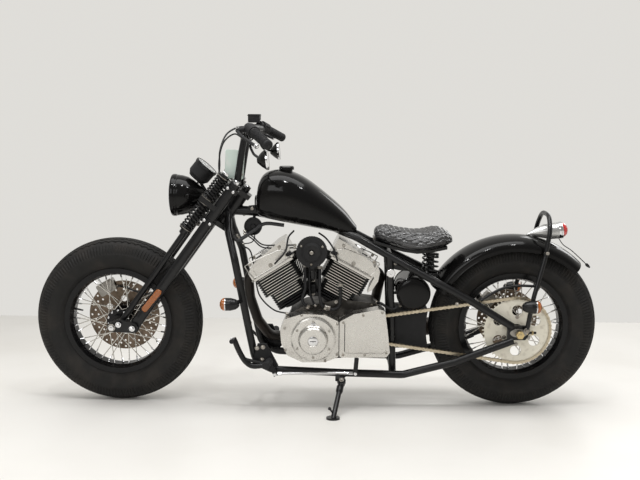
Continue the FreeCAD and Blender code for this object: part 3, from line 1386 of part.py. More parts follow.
def spring_leg(side):
    """One thin front leg, from the rocker up through both springs."""
    lateral = side * spring_leg_half
    foot = rocker_place(lateral, mm.rocker_front_reach, mm.rocker_front_rise)
    leg = rod(foot, fork(mm.spring_top_along, mm.spring_leg_offset, lateral), mm.spring_leg_radius)
    seat_along = spring_plate_low - mm.spring_lower_length
    seat = rod(fork(seat_along - mm.spring_seat, mm.spring_leg_offset, lateral),
               fork(seat_along, mm.spring_leg_offset, lateral), mm.spring_outer_radius)
    nut_along = spring_plate_low + mm.tree_thickness + mm.spring_upper_length
    nut = rod(fork(nut_along, mm.spring_leg_offset, lateral),
              fork(nut_along + mm.spring_seat, mm.spring_leg_offset, lateral),
              mm.spring_outer_radius - mm.overrun)
    eye = cross_rod(foot, mm.spring_eye_radius, side * (spring_leg_half - mm.spring_leg_radius),
                    side * (rocker_inner - mm.fit_gap))
    return joined([leg, seat, nut, eye])


def rocker(side):
    """One rocker: axle eye in front, spring pin, and the pivot on the leg behind."""
    low, high = side * rocker_inner, side * rocker_outer
    eyes = [rocker_place(0, mm.rocker_rear_reach, -mm.rocker_rear_drop),
            rocker_place(0, mm.rocker_front_reach, mm.rocker_front_rise), front_axle]
    discs = [cross_rod(eye, mm.rocker_eye_radius, low, high) for eye in eyes]
    half = Vector(0, 0, mm.rocker_eye_radius)
    web = slab([front_axle - half, eyes[0] - half, eyes[0] + half, eyes[1] + half, front_axle + half],
               low, high)
    inner, outer = leg_half - mm.leg_radius, rocker_offset + mm.rocker_thickness
    pins = [cross_rod(eye, mm.rocker_pin_radius, side * inner, side * outer) for eye in eyes[:2]]
    bore = cross_rod(front_axle, mm.axle_radius + mm.fit_gap, -2 * front_axle_half, 2 * front_axle_half)
    return joined([*discs, web, *pins]).cut(bore)


def fork_spring(label, along, length):
    """One coil spring on the left thin leg, from a start along the steering axis."""
    table_shares = spring_shares(mm.spring_outer_radius, mm.spring_wire_radius, mm.spring_turns)
    return turned_body(label, formulas(table_shares, f"({length} - 2 * fit_gap)", "spring_outer_radius"),
                       fork(along + mm.fit_gap, mm.spring_leg_offset, -spring_leg_half), steer_up)


top_along = mm.neck_high + mm.running_gap * 2
spring_plate_low = -mm.spring_plate_drop - mm.tree_thickness / 2
rocker_group = Part.makeCompound([rocker(side) for side in (-1, 1)])
legs = [fork_leg(side).cut(rocker_group) for side in (-1, 1)]
spring_legs = [spring_leg(side).cut(rocker_group) for side in (-1, 1)]
trees_shape = fork_trees().cut([*legs, *spring_legs])
shaped("fork_trees", trees_shape)
shaped("fork_legs", Part.makeCompound(legs))
shaped("spring_legs", Part.makeCompound(spring_legs))
shaped("fork_rockers", rocker_group)
mirrored_pair("fork_springs", [
    fork_spring("lower_spring", spring_plate_low - mm.spring_lower_length, "spring_lower_length"),
    fork_spring("upper_spring", spring_plate_low + mm.tree_thickness, "spring_upper_length")])


# Handlebar and what it carries

BAR_SHARES = [(0.2037, 1.3146, 1), (0.1305, 1.3634, 0.71), (0.0768, 1.3756, 0.36), (0.0659, 1.3537, 0.17)]


def bar_half(side):
    return [steered_spot(x, z, side * share * mm.bar_end_half) for x, z, share in BAR_SHARES]


def bar_end(side):
    """The bar's end and its outward direction."""
    end, inner = bar_half(side)[:2]
    return end, (end - inner).normalize()


def handlebar():
    """A wide bar with pulled-back ends on two tall risers."""
    bar = tube(bar_half(-1) + bar_half(1)[::-1], mm.bar_radius, mm.bar_bend_radius)
    foot_share = 0.8
    risers = []
    for side in (-1, 1):
        lateral = side * mm.riser_half_spread
        foot = fork(top_along + mm.tree_thickness, mm.leg_offset * foot_share, lateral)
        knee, crown = steered_spot(0.0463, 1.2537, lateral), steered_spot(0.0659, 1.3537, lateral)
        risers.append(tube([foot, knee, crown], mm.riser_radius, mm.rail_bend_radius))
        collar = foot + (knee - foot).normalize() * mm.tree_margin
        risers.append(rod(foot, collar, mm.riser_radius + mm.pipe_wall))
    return joined([bar, *risers]).cut(trees_shape)


def hand_control(side):
    """Switch housing, lever perch and lever, with the fluid box on the right."""
    end, run = bar_end(side)
    ahead = Vector(-1, 0, 0) - run * Vector(-1, 0, 0).dot(run)
    ahead.normalize()
    start = end - run * (mm.grip_length + mm.fit_gap)
    housing = rod(start - run * mm.housing_length, start, mm.housing_radius)
    perch_at = start - run * (mm.housing_length + mm.perch_length / 4)
    lever_start = perch_at + ahead * mm.lever_reach
    perch = rod(perch_at, lever_start, mm.perch_length / 3)
    clamp = rod(perch_at - run * mm.perch_length / 3, perch_at + run * mm.perch_length / 3,
                mm.bar_radius + mm.stay_tube_radius / 2)
    tip_share = 0.85
    lever = tube([lever_start, lever_start + run * (mm.grip_length / 2) + ahead * mm.lever_radius,
                  end + ahead * (mm.lever_reach * tip_share)], mm.lever_radius, mm.rail_bend_radius * 2)
    pieces = [housing, perch, clamp, lever]
    if side > 0:
        length_share, height_share = 1.2, 0.7
        long = mm.fluid_box * length_share
        box = Part.makeBox(mm.fluid_box, long, mm.fluid_box * height_share)
        box.translate(perch_at + Vector(-mm.fluid_box, -long / 2, mm.bar_radius))
        pieces.append(rounded(box, mm.lever_radius, Vector(0, 0, 1)))
    bar_room = tube(bar_half(-1) + bar_half(1)[::-1], mm.bar_radius + mm.fit_gap, mm.bar_bend_radius)
    return joined(pieces).cut(bar_room)


def mirror(side):
    """A round mirror under the bar on a bent stem."""
    end, run = bar_end(side)
    root = end - run * (mm.grip_length + mm.housing_length + 3 * mm.perch_length / 2) - Vector(
        0, 0, mm.bar_radius + mm.fit_gap)
    back = steered_spot(0.1976, 1.2415, side * mm.mirror_offset) - Vector(mm.mirror_depth, 0, 0)
    cup_shares = [(0, 0), (0, 0.25), (0.4, 0.68), (0.8, 1), (1, 1), (1, 0.9), (0.96, 0.88), (0.96, 0)]
    tilt_share = 0.1
    cup = revolved(back, Vector(1, 0, tilt_share), cup_shares, mm.mirror_depth, mm.mirror_radius)
    stem = tube([root, Vector((root.x + back.x) / 2, root.y, back.z + mm.mirror_radius / 2),
                 back + Vector(mm.mirror_depth / 2, 0, 0)], mm.mirror_stem_radius, mm.mirror_radius)
    return joined([cup, stem])


def headlight_shell():
    """The headlight's black bowl with its rolled rim, on a stay from the spring plate."""
    bowl_shares = [(0, 0), (0, 0.95), (0.07, 1), (0.15, 1), (0.17, 0.96), (0.32, 0.94), (0.5, 0.86),
                   (0.68, 0.7), (0.85, 0.48), (1, 0.28), (1, 0)]
    stay_share = 0.9
    bowl = revolved(headlight_front, Vector(1, 0, 0), bowl_shares, mm.headlight_depth, mm.headlight_radius)
    stay = rod(headlight_front + Vector(mm.headlight_depth * stay_share, 0, 0),
               fork(-mm.spring_plate_drop, mm.spring_leg_offset + mm.spring_leg_radius),
               mm.headlight_stay_radius)
    return largest(joined([bowl, stay]).cut(trees_shape))


def speedometer():
    """A round instrument above the headlight, facing up and back, on a short arm."""
    facing = polar(Vector(0, 0, 0), 1, 90 - mm.speedo_tilt)
    base = steered_spot(-0.1305, 1.1915) - facing * mm.speedo_depth
    case_shares = [(0, 0), (0, 0.7), (0.25, 0.93), (0.8, 0.95), (0.85, 1), (1, 1), (1, 0.9), (0.97, 0.88),
                   (0.97, 0)]
    case = revolved(base, facing, case_shares, mm.speedo_depth, mm.speedo_radius)
    arm = rod(base + facing * mm.lever_radius, steered_spot(-0.1317, 1.0561), mm.lever_radius)
    return joined([case, arm]).cut([trees_shape, shell_shape])


headlight_front = steered_spot(-0.3024, 1.0463)
bar_shape = handlebar()
shaped("handlebar", bar_shape)
left_end, left_run = bar_end(-1)
mirrored_pair("grips", [turned_body("left_grip", [
    ("-grip_length", "bar_radius + fit_gap"), ("-grip_length", "grip_radius + overrun"),
    ("-0.96 * grip_length", "grip_radius + overrun"), ("-0.93 * grip_length", "grip_radius"),
    ("0", "grip_radius"), ("grip_radius / 2", "0.8 * grip_radius"), ("grip_radius / 2", "0"),
    ("fit_gap", "0"), ("fit_gap", "bar_radius + fit_gap"),
], left_end, left_run)])
shaped("hand_controls", Part.makeCompound([hand_control(-1), hand_control(1)]))
shaped("mirrors", Part.makeCompound([mirror(-1), mirror(1)]).cut(bar_shape))
shell_shape = headlight_shell()
shaped("headlight_shell", shell_shape)
turned("headlight_lens", formulas(LENS_SHARES, "lens_thickness", "lens_radius"),
       headlight_front - Vector(mm.fit_gap, 0, 0), Vector(-1, 0, 0))
shaped("speedometer", speedometer())


# Side stand

def side_stand():
    """The stand's eye on its pin, the leg and a foot that lies flat on the ground."""
    half_eye = mm.stand_eye_thickness / 2
    eye = rod(stand_pivot - stand_axis * half_eye, stand_pivot + stand_axis * half_eye, mm.stand_eye_radius)
    leg = rod(stand_pivot + leg_run * (mm.stand_eye_radius - mm.overrun), stand_foot, mm.stand_leg_radius)
    down = FreeCAD.Rotation(Vector(1, 0, 0), -mm.lean_angle).multVec(Vector(0, 0, -1))
    foot = Part.makeCylinder(mm.stand_foot_radius, mm.stand_foot_thickness, stand_foot, down * -1)
    bore = rod(stand_pivot - stand_axis * mm.stand_eye_thickness * 2,
               stand_pivot + stand_axis * mm.stand_eye_thickness * 2, mm.stand_pin_radius + mm.fit_gap)
    below = Part.makeCylinder(mm.stand_foot_radius * 2, mm.stand_foot_radius, stand_foot, down)
    return joined([eye, leg, foot]).cut([bore, below])


shaped("stand_leg", side_stand())


# The whole machine leans on its stand, its origin under the middle of its box

leaning = FreeCAD.Placement(Vector(0, 0, 0), FreeCAD.Rotation(Vector(1, 0, 0), mm.lean_angle))
doc.recompute()
boxes = []
for piece in nodes.values():
    placed = piece.Shape.copy()
    placed.Placement = leaning.multiply(placed.Placement)
    boxes.append(placed.optimalBoundingBox(False, False))
low_x, high_x = min(box.XMin for box in boxes), max(box.XMax for box in boxes)
low_y, high_y = min(box.YMin for box in boxes), max(box.YMax for box in boxes)
origin = Vector((low_x + high_x) / 2, (low_y + high_y) / 2, min(box.ZMin for box in boxes))
standing = FreeCAD.Placement(origin * -1, FreeCAD.Rotation()).multiply(leaning)
for piece in nodes.values():
    piece.Placement = standing.multiply(piece.Placement)
doc.recompute()

for item in doc.Objects:
    if "Invalid" in item.State or "Error" in item.State:
        raise RuntimeError(f"{item.Label} did not build")
for label, piece in nodes.items():
    if piece.Shape.isNull() or not piece.Shape.isValid():
        raise RuntimeError(f"{label} has no valid shape")
for label, piece in nodes.items():
    piece.Shape.exportStep(f"parts/{label}.step")
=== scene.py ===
import json
import math

import bmesh
import bpy
from mathutils import Matrix, Vector
from mathutils.bvhtree import BVHTree


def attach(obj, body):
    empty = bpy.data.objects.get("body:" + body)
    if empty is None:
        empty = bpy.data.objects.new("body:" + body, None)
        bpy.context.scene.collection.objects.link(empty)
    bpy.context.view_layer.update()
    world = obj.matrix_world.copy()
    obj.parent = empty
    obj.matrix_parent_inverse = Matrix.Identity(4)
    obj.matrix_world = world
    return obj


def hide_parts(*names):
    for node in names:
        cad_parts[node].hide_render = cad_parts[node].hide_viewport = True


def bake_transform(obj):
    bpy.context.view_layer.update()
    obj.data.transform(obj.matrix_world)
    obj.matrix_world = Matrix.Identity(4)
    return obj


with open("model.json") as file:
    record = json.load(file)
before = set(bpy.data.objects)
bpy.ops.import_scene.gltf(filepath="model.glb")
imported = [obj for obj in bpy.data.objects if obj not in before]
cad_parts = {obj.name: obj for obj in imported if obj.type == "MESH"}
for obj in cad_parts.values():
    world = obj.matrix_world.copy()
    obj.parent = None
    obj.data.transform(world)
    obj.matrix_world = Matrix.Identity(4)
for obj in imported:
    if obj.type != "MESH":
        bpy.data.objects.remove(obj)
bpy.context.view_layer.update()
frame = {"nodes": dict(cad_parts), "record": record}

# The upright bike: x back from the front axle, z up from the ground, y to the right.
# The axles and the crank are in metres, and every form below is built in millimetres

MM = 0.001
BACK, SIDE, UP = Vector((1, 0, 0)), Vector((0, 1, 0)), Vector((0, 0, 1))
FRONT = Vector((0, 0, 0.34149))
REAR = Vector((1.610, 0, 0.33853))
CRANK = Vector((0.803, 0, 0.310))
LEAN = Matrix.Rotation(math.radians(7), 4, "X")
shift = Vector(frame["record"]["mounts"][0]["pos_m"]) - LEAN @ FRONT
UPRIGHT = Matrix.Translation(shift) @ LEAN
RAKE = math.radians(36.7)
STEER_UP = Vector((math.sin(RAKE), 0, math.cos(RAKE)))
STEER_AHEAD = Vector((-math.cos(RAKE), 0, math.sin(RAKE)))
FRONT_TILT, REAR_TILT = math.radians(-32), math.radians(28.5)
CYLINDER_UP = {"front": Vector((math.sin(FRONT_TILT), 0, math.cos(FRONT_TILT))),
               "rear": Vector((math.sin(REAR_TILT), 0, math.cos(REAR_TILT)))}


def spot(x, z, y=0.0):
    return Vector((x, y, z))


def spots(places, y=0.0):
    return [spot(x, z, y) for x, z in places]


def radial(angle):
    """A direction seen from the side, turned up from straight back."""
    return Vector((math.cos(angle), 0, math.sin(angle)))


def circle(centre, reach, count, turn):
    """Evenly spaced places round a centre, seen from the side."""
    return [centre + radial(turn + 2 * math.pi * number / count) * reach for number in range(count)]


def oblong(half_wide, half_high):
    """The corners of a flat oblong about its middle."""
    corners = ((-1, -1), (1, -1), (1, 1), (-1, 1))
    return [(half_wide * across, half_high * up) for across, up in corners]


# Materials

class Surface:
    """A node material whose colour, roughness and relief follow the piece's own coordinates."""

    SOCKETS = {"shine": "Specular IOR Level", "coat": "Coat Weight", "coat_rough": "Coat Roughness",
               "clear": "Transmission Weight"}

    def __init__(self, name, colour, rough, metal=0.0, **inputs):
        self.material = bpy.data.materials.new(name)
        self.material.use_nodes = True
        self.tree = self.material.node_tree
        self.shader = self.tree.nodes["Principled BSDF"].inputs
        self.shader["Base Color"].default_value = (*colour, 1)
        self.shader["Roughness"].default_value = rough
        self.shader["Metallic"].default_value = metal
        for socket, value in inputs.items():
            self.shader[self.SOCKETS[socket]].default_value = value
        self.place = self.add("TexCoord").outputs["Object"]

    def feed(self, value, socket):
        if isinstance(value, bpy.types.NodeSocket):
            self.tree.links.new(value, socket)
        else:
            socket.default_value = value

    def add(self, kind, *values, **settings):
        """A new node with these settings, and the values on its first sockets."""
        node = self.tree.nodes.new("ShaderNode" + kind)
        for key, value in settings.items():
            setattr(node, key, value)
        for value, socket in zip(values, node.inputs):
            self.feed(value, socket)
        return node

    def math(self, operation, *values):
        return self.add("Math", *values, operation=operation).outputs[0]

    def cloud(self, size, detail=3.0, place=None):
        """Soft random values from 0 to 1, with features of about this size in millimetres."""
        return self.add("TexNoise", place or self.place, 0.0, 1 / (size * MM), detail).outputs[0]

    def cells(self, size):
        return self.add("TexVoronoi", self.place, 0.0, 1 / (size * MM)).outputs[0]

    def fade(self, value, start, stop, low=0.0, high=1.0):
        return self.add("MapRange", value, start, stop, low, high, interpolation_type="SMOOTHSTEP").outputs[0]

    def measure(self, operation, start, direction):
        """The offset from a point of the upright bike, combined with a direction."""
        offset = self.add("VectorMath", self.place, UPRIGHT @ start, operation="SUBTRACT").outputs[0]
        direction = (UPRIGHT.to_3x3() @ direction).normalized()
        return self.add("VectorMath", offset, direction, operation=operation).outputs

    def distance(self, start, direction):
        """Distance in metres from the line through a point of the upright bike."""
        away = self.measure("CROSS_PRODUCT", start, direction)[0]
        return self.add("VectorMath", away, operation="LENGTH").outputs["Value"]

    def along(self, start, direction):
        """Distance in metres from a point of the upright bike, measured along a direction."""
        return self.measure("DOT_PRODUCT", start, direction)["Value"]

    def tint(self, factor, colour):
        """Lays another colour over the piece where the factor is high."""
        node = self.add("Mix", factor, data_type="RGBA")
        base = self.shader["Base Color"]
        self.feed(base.links[0].from_socket if base.links else base.default_value[:], node.inputs[6])
        node.inputs[7].default_value = (*colour, 1)
        self.feed(node.outputs[2], base)
        return self

    def vary(self, socket, factor, low, high):
        """Drives a number of the shader from low to high with the factor."""
        self.feed(self.add("MapRange", factor, 0.0, 1.0, low, high).outputs[0], self.shader[socket])
        return self

    def emboss(self, height, depth):
        """Relief of this depth in millimetres."""
        node = self.add("Bump")
        self.feed(height, node.inputs["Height"])
        node.inputs["Distance"].default_value = depth * MM
        if self.shader["Normal"].links:
            self.feed(self.shader["Normal"].links[0].from_socket, node.inputs["Normal"])
        self.feed(node.outputs[0], self.shader["Normal"])
        return self

    def worn(self, low, high, size, detail=3.0):
        """Uneven roughness."""
        return self.vary("Roughness", self.cloud(size, detail), low, high)

    def stained(self, colour, most, start, stop, size, detail):
        """Patches of another colour."""
        return self.tint(self.fade(self.cloud(size, detail), start, stop, 0.0, most), colour)

    def grained(self, depth, size, detail=3.0):
        """Fine random relief."""
        return self.emboss(self.cloud(size, detail), depth)


def gloss_black():
    made = Surface("gloss_black", (0.0042, 0.004, 0.004), 0.12, shine=0.16, coat=0.08, coat_rough=0.04)
    made.worn(0.06, 0.2, 60).stained((0.016, 0.014, 0.012), 0.25, 0.55, 0.8, 140, 5)
    return made.grained(0.004, 2.5)


def satin_black():
    made = Surface("satin_black", (0.006, 0.006, 0.0065), 0.34, shine=0.3, coat=0.08, coat_rough=0.15)
    made.worn(0.2, 0.42, 35, 5).stained((0.03, 0.027, 0.024), 0.5, 0.66, 0.72, 24, 8)
    return made.grained(0.03, 0.9, 2)


def matt_black():
    made = Surface("matt_black", (0.011, 0.011, 0.012), 0.6, shine=0.3)
    made.worn(0.5, 0.75, 20, 4).stained((0.028, 0.026, 0.023), 0.4, 0.5, 0.8, 50, 6)
    return made.grained(0.05, 0.7, 2)


def fin_black(name, up):
    """Black heat paint, ground bright on the outer edges of the fins."""
    made = Surface(name, (0.0045, 0.0045, 0.005), 0.5, shine=0.2)
    height = made.along(CRANK, up)
    across = made.math("ABSOLUTE", made.along(CRANK, up.cross(SIDE)))
    aside = made.math("ABSOLUTE", made.along(CRANK, SIDE))
    edges = []
    for half_across, half_aside, low, high in ((90, 84, 0.226, 0.310), (72, 72, 0.176, 0.226)):
        reach = made.math("MAXIMUM", made.fade(across, (half_across - 1.6) * MM, (half_across - 1.0) * MM),
                          made.fade(aside, (half_aside - 1.6) * MM, (half_aside - 1.0) * MM))
        band = made.math("MULTIPLY", made.fade(height, low - 0.001, low),
                         made.fade(height, high + 0.001, high))
        edges.append(made.math("MULTIPLY", reach, band))
    top_fin, fin_pitch = 0.304, 0.0105
    phase = made.math("FRACT", made.math("DIVIDE", made.math("SUBTRACT", top_fin, height), fin_pitch))
    crown = made.math("MULTIPLY", made.fade(phase, 0.27, 0.32), made.fade(phase, 0.53, 0.47))
    bright = made.math("MULTIPLY", made.math("MAXIMUM", *edges), crown)
    made.tint(bright, (0.6, 0.58, 0.54))
    made.vary("Metallic", bright, 0.0, 1.0)
    made.vary("Roughness", made.math("MAXIMUM", bright, made.cloud(12, 4)), 0.6, 0.3)
    return made.grained(0.06, 1.2, 2)


def wheel_black(name, axle):
    """Gloss black rim and hub with bright spokes between them."""
    made = Surface(name, (0.004, 0.004, 0.0045), 0.2, shine=0.25)
    out = made.distance(axle, SIDE)
    spokes = made.math("MULTIPLY", made.fade(out, 0.0485, 0.0495), made.fade(out, 0.1895, 0.1885))
    made.tint(spokes, (0.62, 0.6, 0.56))
    made.vary("Metallic", spokes, 0.0, 1.0)
    return made.worn(0.12, 0.34, 30, 5).grained(0.01, 2)


def polished():
    """Polished alloy, with fine pits below the crank."""
    made = Surface("polished_alloy", (0.6, 0.585, 0.555), 0.16, 1.0)
    made.worn(0.21, 0.34, 18, 6).stained((0.36, 0.34, 0.31), 0.3, 0.4, 0.75, 120, 5)
    low = made.fade(made.along(CRANK, UP), 0.01, -0.07)
    pits = made.math("MULTIPLY", made.fade(made.cloud(3.4, 2), 0.6, 0.66, 0.0, 0.7), low)
    return made.tint(pits, (0.12, 0.105, 0.085)).grained(0.02, 6, 4)


def cast_alloy():
    made = Surface("cast_alloy", (0.34, 0.325, 0.3), 0.4, 0.95)
    made.worn(0.3, 0.52, 10, 6).stained((0.17, 0.155, 0.13), 0.45, 0.42, 0.75, 60, 6)
    return made.grained(0.12, 1.6, 4)


def casting_with_painted_shade():
    """Sand-cast crankcase, painted dark as shade for the shadowed space between the cylinders and the covers,
    with random near-black patches of oil and road dirt.
    """
    # Painted shade: the dark base colour stands in for the shade between the cylinders and the covers.
    made = Surface("casting_with_painted_shade", (0.1, 0.094, 0.086), 0.5, 0.85)
    made.worn(0.4, 0.68, 9, 6).stained((0.018, 0.016, 0.014), 0.85, 0.4, 0.66, 48, 7)
    return made.grained(0.18, 1.5, 4)


def chrome():
    return Surface("chrome", (0.7, 0.7, 0.71), 0.05, 1.0).worn(0.03, 0.12, 40, 5).grained(0.01, 9)


def steel():
    """Steel ground across, with a little rust."""
    made = Surface("ground_steel", (0.36, 0.34, 0.31), 0.3, 1.0)
    narrowed = made.add("Mapping", made.place, (0, 0, 0), (0, 0, 0), (1, 8, 1)).outputs[0]
    made.vary("Roughness", made.cloud(3, 5, narrowed), 0.2, 0.42)
    made.stained((0.2, 0.155, 0.11), 0.7, 0.5, 0.75, 16, 6)
    return made.grained(0.03, 1.2)


def disc_steel():
    """Brake disc, browned by heat."""
    made = Surface("disc_steel", (0.17, 0.13, 0.098), 0.34, 1.0)
    made.worn(0.26, 0.46, 4, 5).stained((0.075, 0.055, 0.04), 0.6, 0.45, 0.75, 22, 6)
    return made.grained(0.03, 1.2)


def chain_steel():
    made = Surface("chain_steel", (0.56, 0.49, 0.37), 0.32, 1.0)
    made.worn(0.25, 0.55, 5, 5).stained((0.2, 0.155, 0.1), 0.6, 0.5, 0.75, 9, 6)
    return made.grained(0.04, 1, 2)


def tyre_rubber():
    made = Surface("tyre_rubber", (0.0115, 0.011, 0.0105), 0.72, shine=0.3)
    made.worn(0.6, 0.85, 25, 5).stained((0.03, 0.0255, 0.0215), 0.65, 0.42, 0.75, 90, 6)
    return made.grained(0.05, 0.8)


def grip_rubber():
    made = Surface("grip_rubber", (0.012, 0.012, 0.013), 0.66, shine=0.3)
    made.worn(0.55, 0.8, 8, 4).stained((0.06, 0.057, 0.054), 0.5, 0.5, 0.75, 12, 6)
    return made.grained(0.05, 0.6, 2)


def leather():
    made = Surface("quilted_leather", (0.011, 0.011, 0.012), 0.32, shine=0.6, coat=0.55, coat_rough=0.22)
    made.worn(0.24, 0.42, 16, 5).stained((0.028, 0.027, 0.029), 0.4, 0.5, 0.8, 30, 6)
    return made.emboss(made.cells(1.1), 0.03).grained(0.1, 5, 4)


def heat_black():
    made = Surface("exhaust_finish", (0.018, 0.015, 0.013), 0.42, 0.5)
    made.worn(0.32, 0.6, 14, 5).stained((0.055, 0.036, 0.025), 0.4, 0.4, 0.75, 90, 4)
    return made.grained(0.06, 1.4)


def cream_paint():
    made = Surface("cream_paint", (0.78, 0.74, 0.63), 0.35, coat=0.3, coat_rough=0.2)
    made.worn(0.28, 0.5, 14, 5).stained((0.42, 0.37, 0.28), 0.55, 0.5, 0.72, 26, 8)
    return made.grained(0.02, 3)


def lens(name, colour, rough=0.12):
    made = Surface(name, colour, rough, clear=0.55, coat=0.6, coat_rough=0.05)
    return made.worn(rough * 0.6, rough * 1.6, 6).emboss(made.cells(4), 0.25)


def clear_glass():
    made = Surface("clear_glass", (0.96, 0.98, 1.0), 0.02, clear=1.0)
    return made.worn(0.01, 0.05, 30, 4).grained(0.02, 30)


def hose_rubber():
    made = Surface("hose_rubber", (0.008, 0.008, 0.009), 0.45, shine=0.35)
    return made.worn(0.38, 0.6, 9, 4).grained(0.05, 1.4, 2)


def pleated_hose():
    made = Surface("braided_hose", (0.03, 0.03, 0.032), 0.5)
    return made.vary("Roughness", made.cells(2.4), 0.4, 0.7).emboss(made.cells(2.2), 0.35)


def dial_face():
    made = Surface("dial_face", (0.86, 0.84, 0.78), 0.5)
    made.worn(0.4, 0.6, 8, 4).stained((0.7, 0.66, 0.56), 0.3, 0.45, 0.8, 18, 5)
    return made.grained(0.01, 1.2)


def zinc():
    made = Surface("gold_zinc", (0.62, 0.48, 0.24), 0.3, 1.0)
    made.worn(0.2, 0.45, 5, 5).stained((0.4, 0.36, 0.3), 0.5, 0.45, 0.75, 9, 5)
    return made.grained(0.03, 1.5)


def stitch_thread():
    return Surface("stitch_thread", (0.03, 0.03, 0.032), 0.6).worn(0.5, 0.75, 2).grained(0.05, 0.5, 2)


def mirror_glass():
    return Surface("mirror_glass", (0.93, 0.94, 0.95), 0.02, 1.0).worn(0.01, 0.05, 25, 4)


def silver_paint():
    made = Surface("silver_paint", (0.5, 0.5, 0.49), 0.3, 0.7, coat=0.3, coat_rough=0.12)
    made.worn(0.24, 0.4, 30, 4).stained((0.36, 0.355, 0.34), 0.4, 0.45, 0.8, 50, 5)
    return made.grained(0.01, 2)


def plate_paint():
    made = Surface("plate_paint", (0.62, 0.72, 0.66), 0.4, coat=0.3)
    made.worn(0.3, 0.5, 20, 4).stained((0.75, 0.76, 0.73), 0.5, 0.45, 0.75, 25, 6)
    return made.grained(0.05, 4)


BLACK, SATIN, MATT = gloss_black(), satin_black(), matt_black()
POLISHED, CAST, CHROME, STEEL = polished(), cast_alloy(), chrome(), steel()
CASE, DISC, ALLOY_PAINT = casting_with_painted_shade(), disc_steel(), silver_paint()
RUBBER, GRIP, LEATHER = tyre_rubber(), grip_rubber(), leather()
HEAT, CREAM, CHAIN = heat_black(), cream_paint(), chain_steel()
AMBER, RED = lens("amber_lens", (0.6, 0.17, 0.012)), lens("red_lens", (0.75, 0.02, 0.015))
GLASS, MIRROR, PLATE = clear_glass(), mirror_glass(), plate_paint()
DIAL, ZINC, THREAD = dial_face(), zinc(), stitch_thread()
FINS = {end: fin_black(f"{end}_fin_black", up) for end, up in CYLINDER_UP.items()}
WHEELS = {end: wheel_black(f"{end}_wheel_black", axle) for end, axle in (("front", FRONT), ("rear", REAR))}
HOSE, BRAID = hose_rubber(), pleated_hose()

NODE_SURFACES = {
    BLACK: ["fuel_tank", "tank_cap", "rear_fender", "oil_can", "headlight_shell", "mirrors"],
    SATIN: ["frame_left_loop", "frame_right_loop", "frame_centre", "fork_trees", "fork_legs", "spring_legs",
            "fork_rockers", "fork_springs", "handlebar", "seat_base", "fender_hoop", "stand_leg",
            "turn_signals"],
    MATT: ["battery_box", "foot_controls_left", "foot_controls_right", "hand_controls", "speedometer",
           "carburettor", "horn"],
    POLISHED: ["alternator_cover", "sprocket_cover", "clutch_cover", "front_head", "rear_head"],
    CAST: ["front_caliper", "rear_caliper"], CASE: ["engine_case"], CHROME: ["ignition_switch", "tail_lamp"],
    STEEL: ["front_axle", "rear_axle"], DISC: ["front_brake_disc", "rear_brake_disc"],
    RUBBER: ["front_tyre", "rear_tyre"], GRIP: ["grips"], LEATHER: ["seat_cushion"], HEAT: ["exhaust"],
    CREAM: ["rear_sprocket"], CHAIN: ["chain"], AMBER: ["turn_signal_lenses"], RED: ["tail_lens"],
    GLASS: ["headlight_lens"], FINS["front"]: ["front_barrel"], FINS["rear"]: ["rear_barrel"],
    WHEELS["front"]: ["front_wire_wheel"], WHEELS["rear"]: ["rear_wire_wheel"],
}
for surface, names in NODE_SURFACES.items():
    for name in names:
        for slot in frame["nodes"][name].material_slots:
            slot.material = surface.material


# Forms, built in upright millimetres

def turned_frame(direction):
    """Two directions square to one and to each other."""
    across = direction.cross(UP if abs(direction.z) < 0.9 else BACK).normalized()
    return across, across.cross(direction).normalized()


def smooth_path(points, steps=8):
    """Points along a smooth curve through the given ones."""
    ends = [2 * points[0] - points[1], *points, 2 * points[-1] - points[-2]]
    path = []
    for before, first, second, after in zip(ends, ends[1:], ends[2:], ends[3:]):
        for step in range(steps):
            part = step / steps
            path.append(0.5 * (2 * first + (second - before) * part
                               + (2 * before - 5 * first + 4 * second - after) * part ** 2
                               + (3 * first - before - 3 * second + after) * part ** 3))
    return path + [points[-1]]


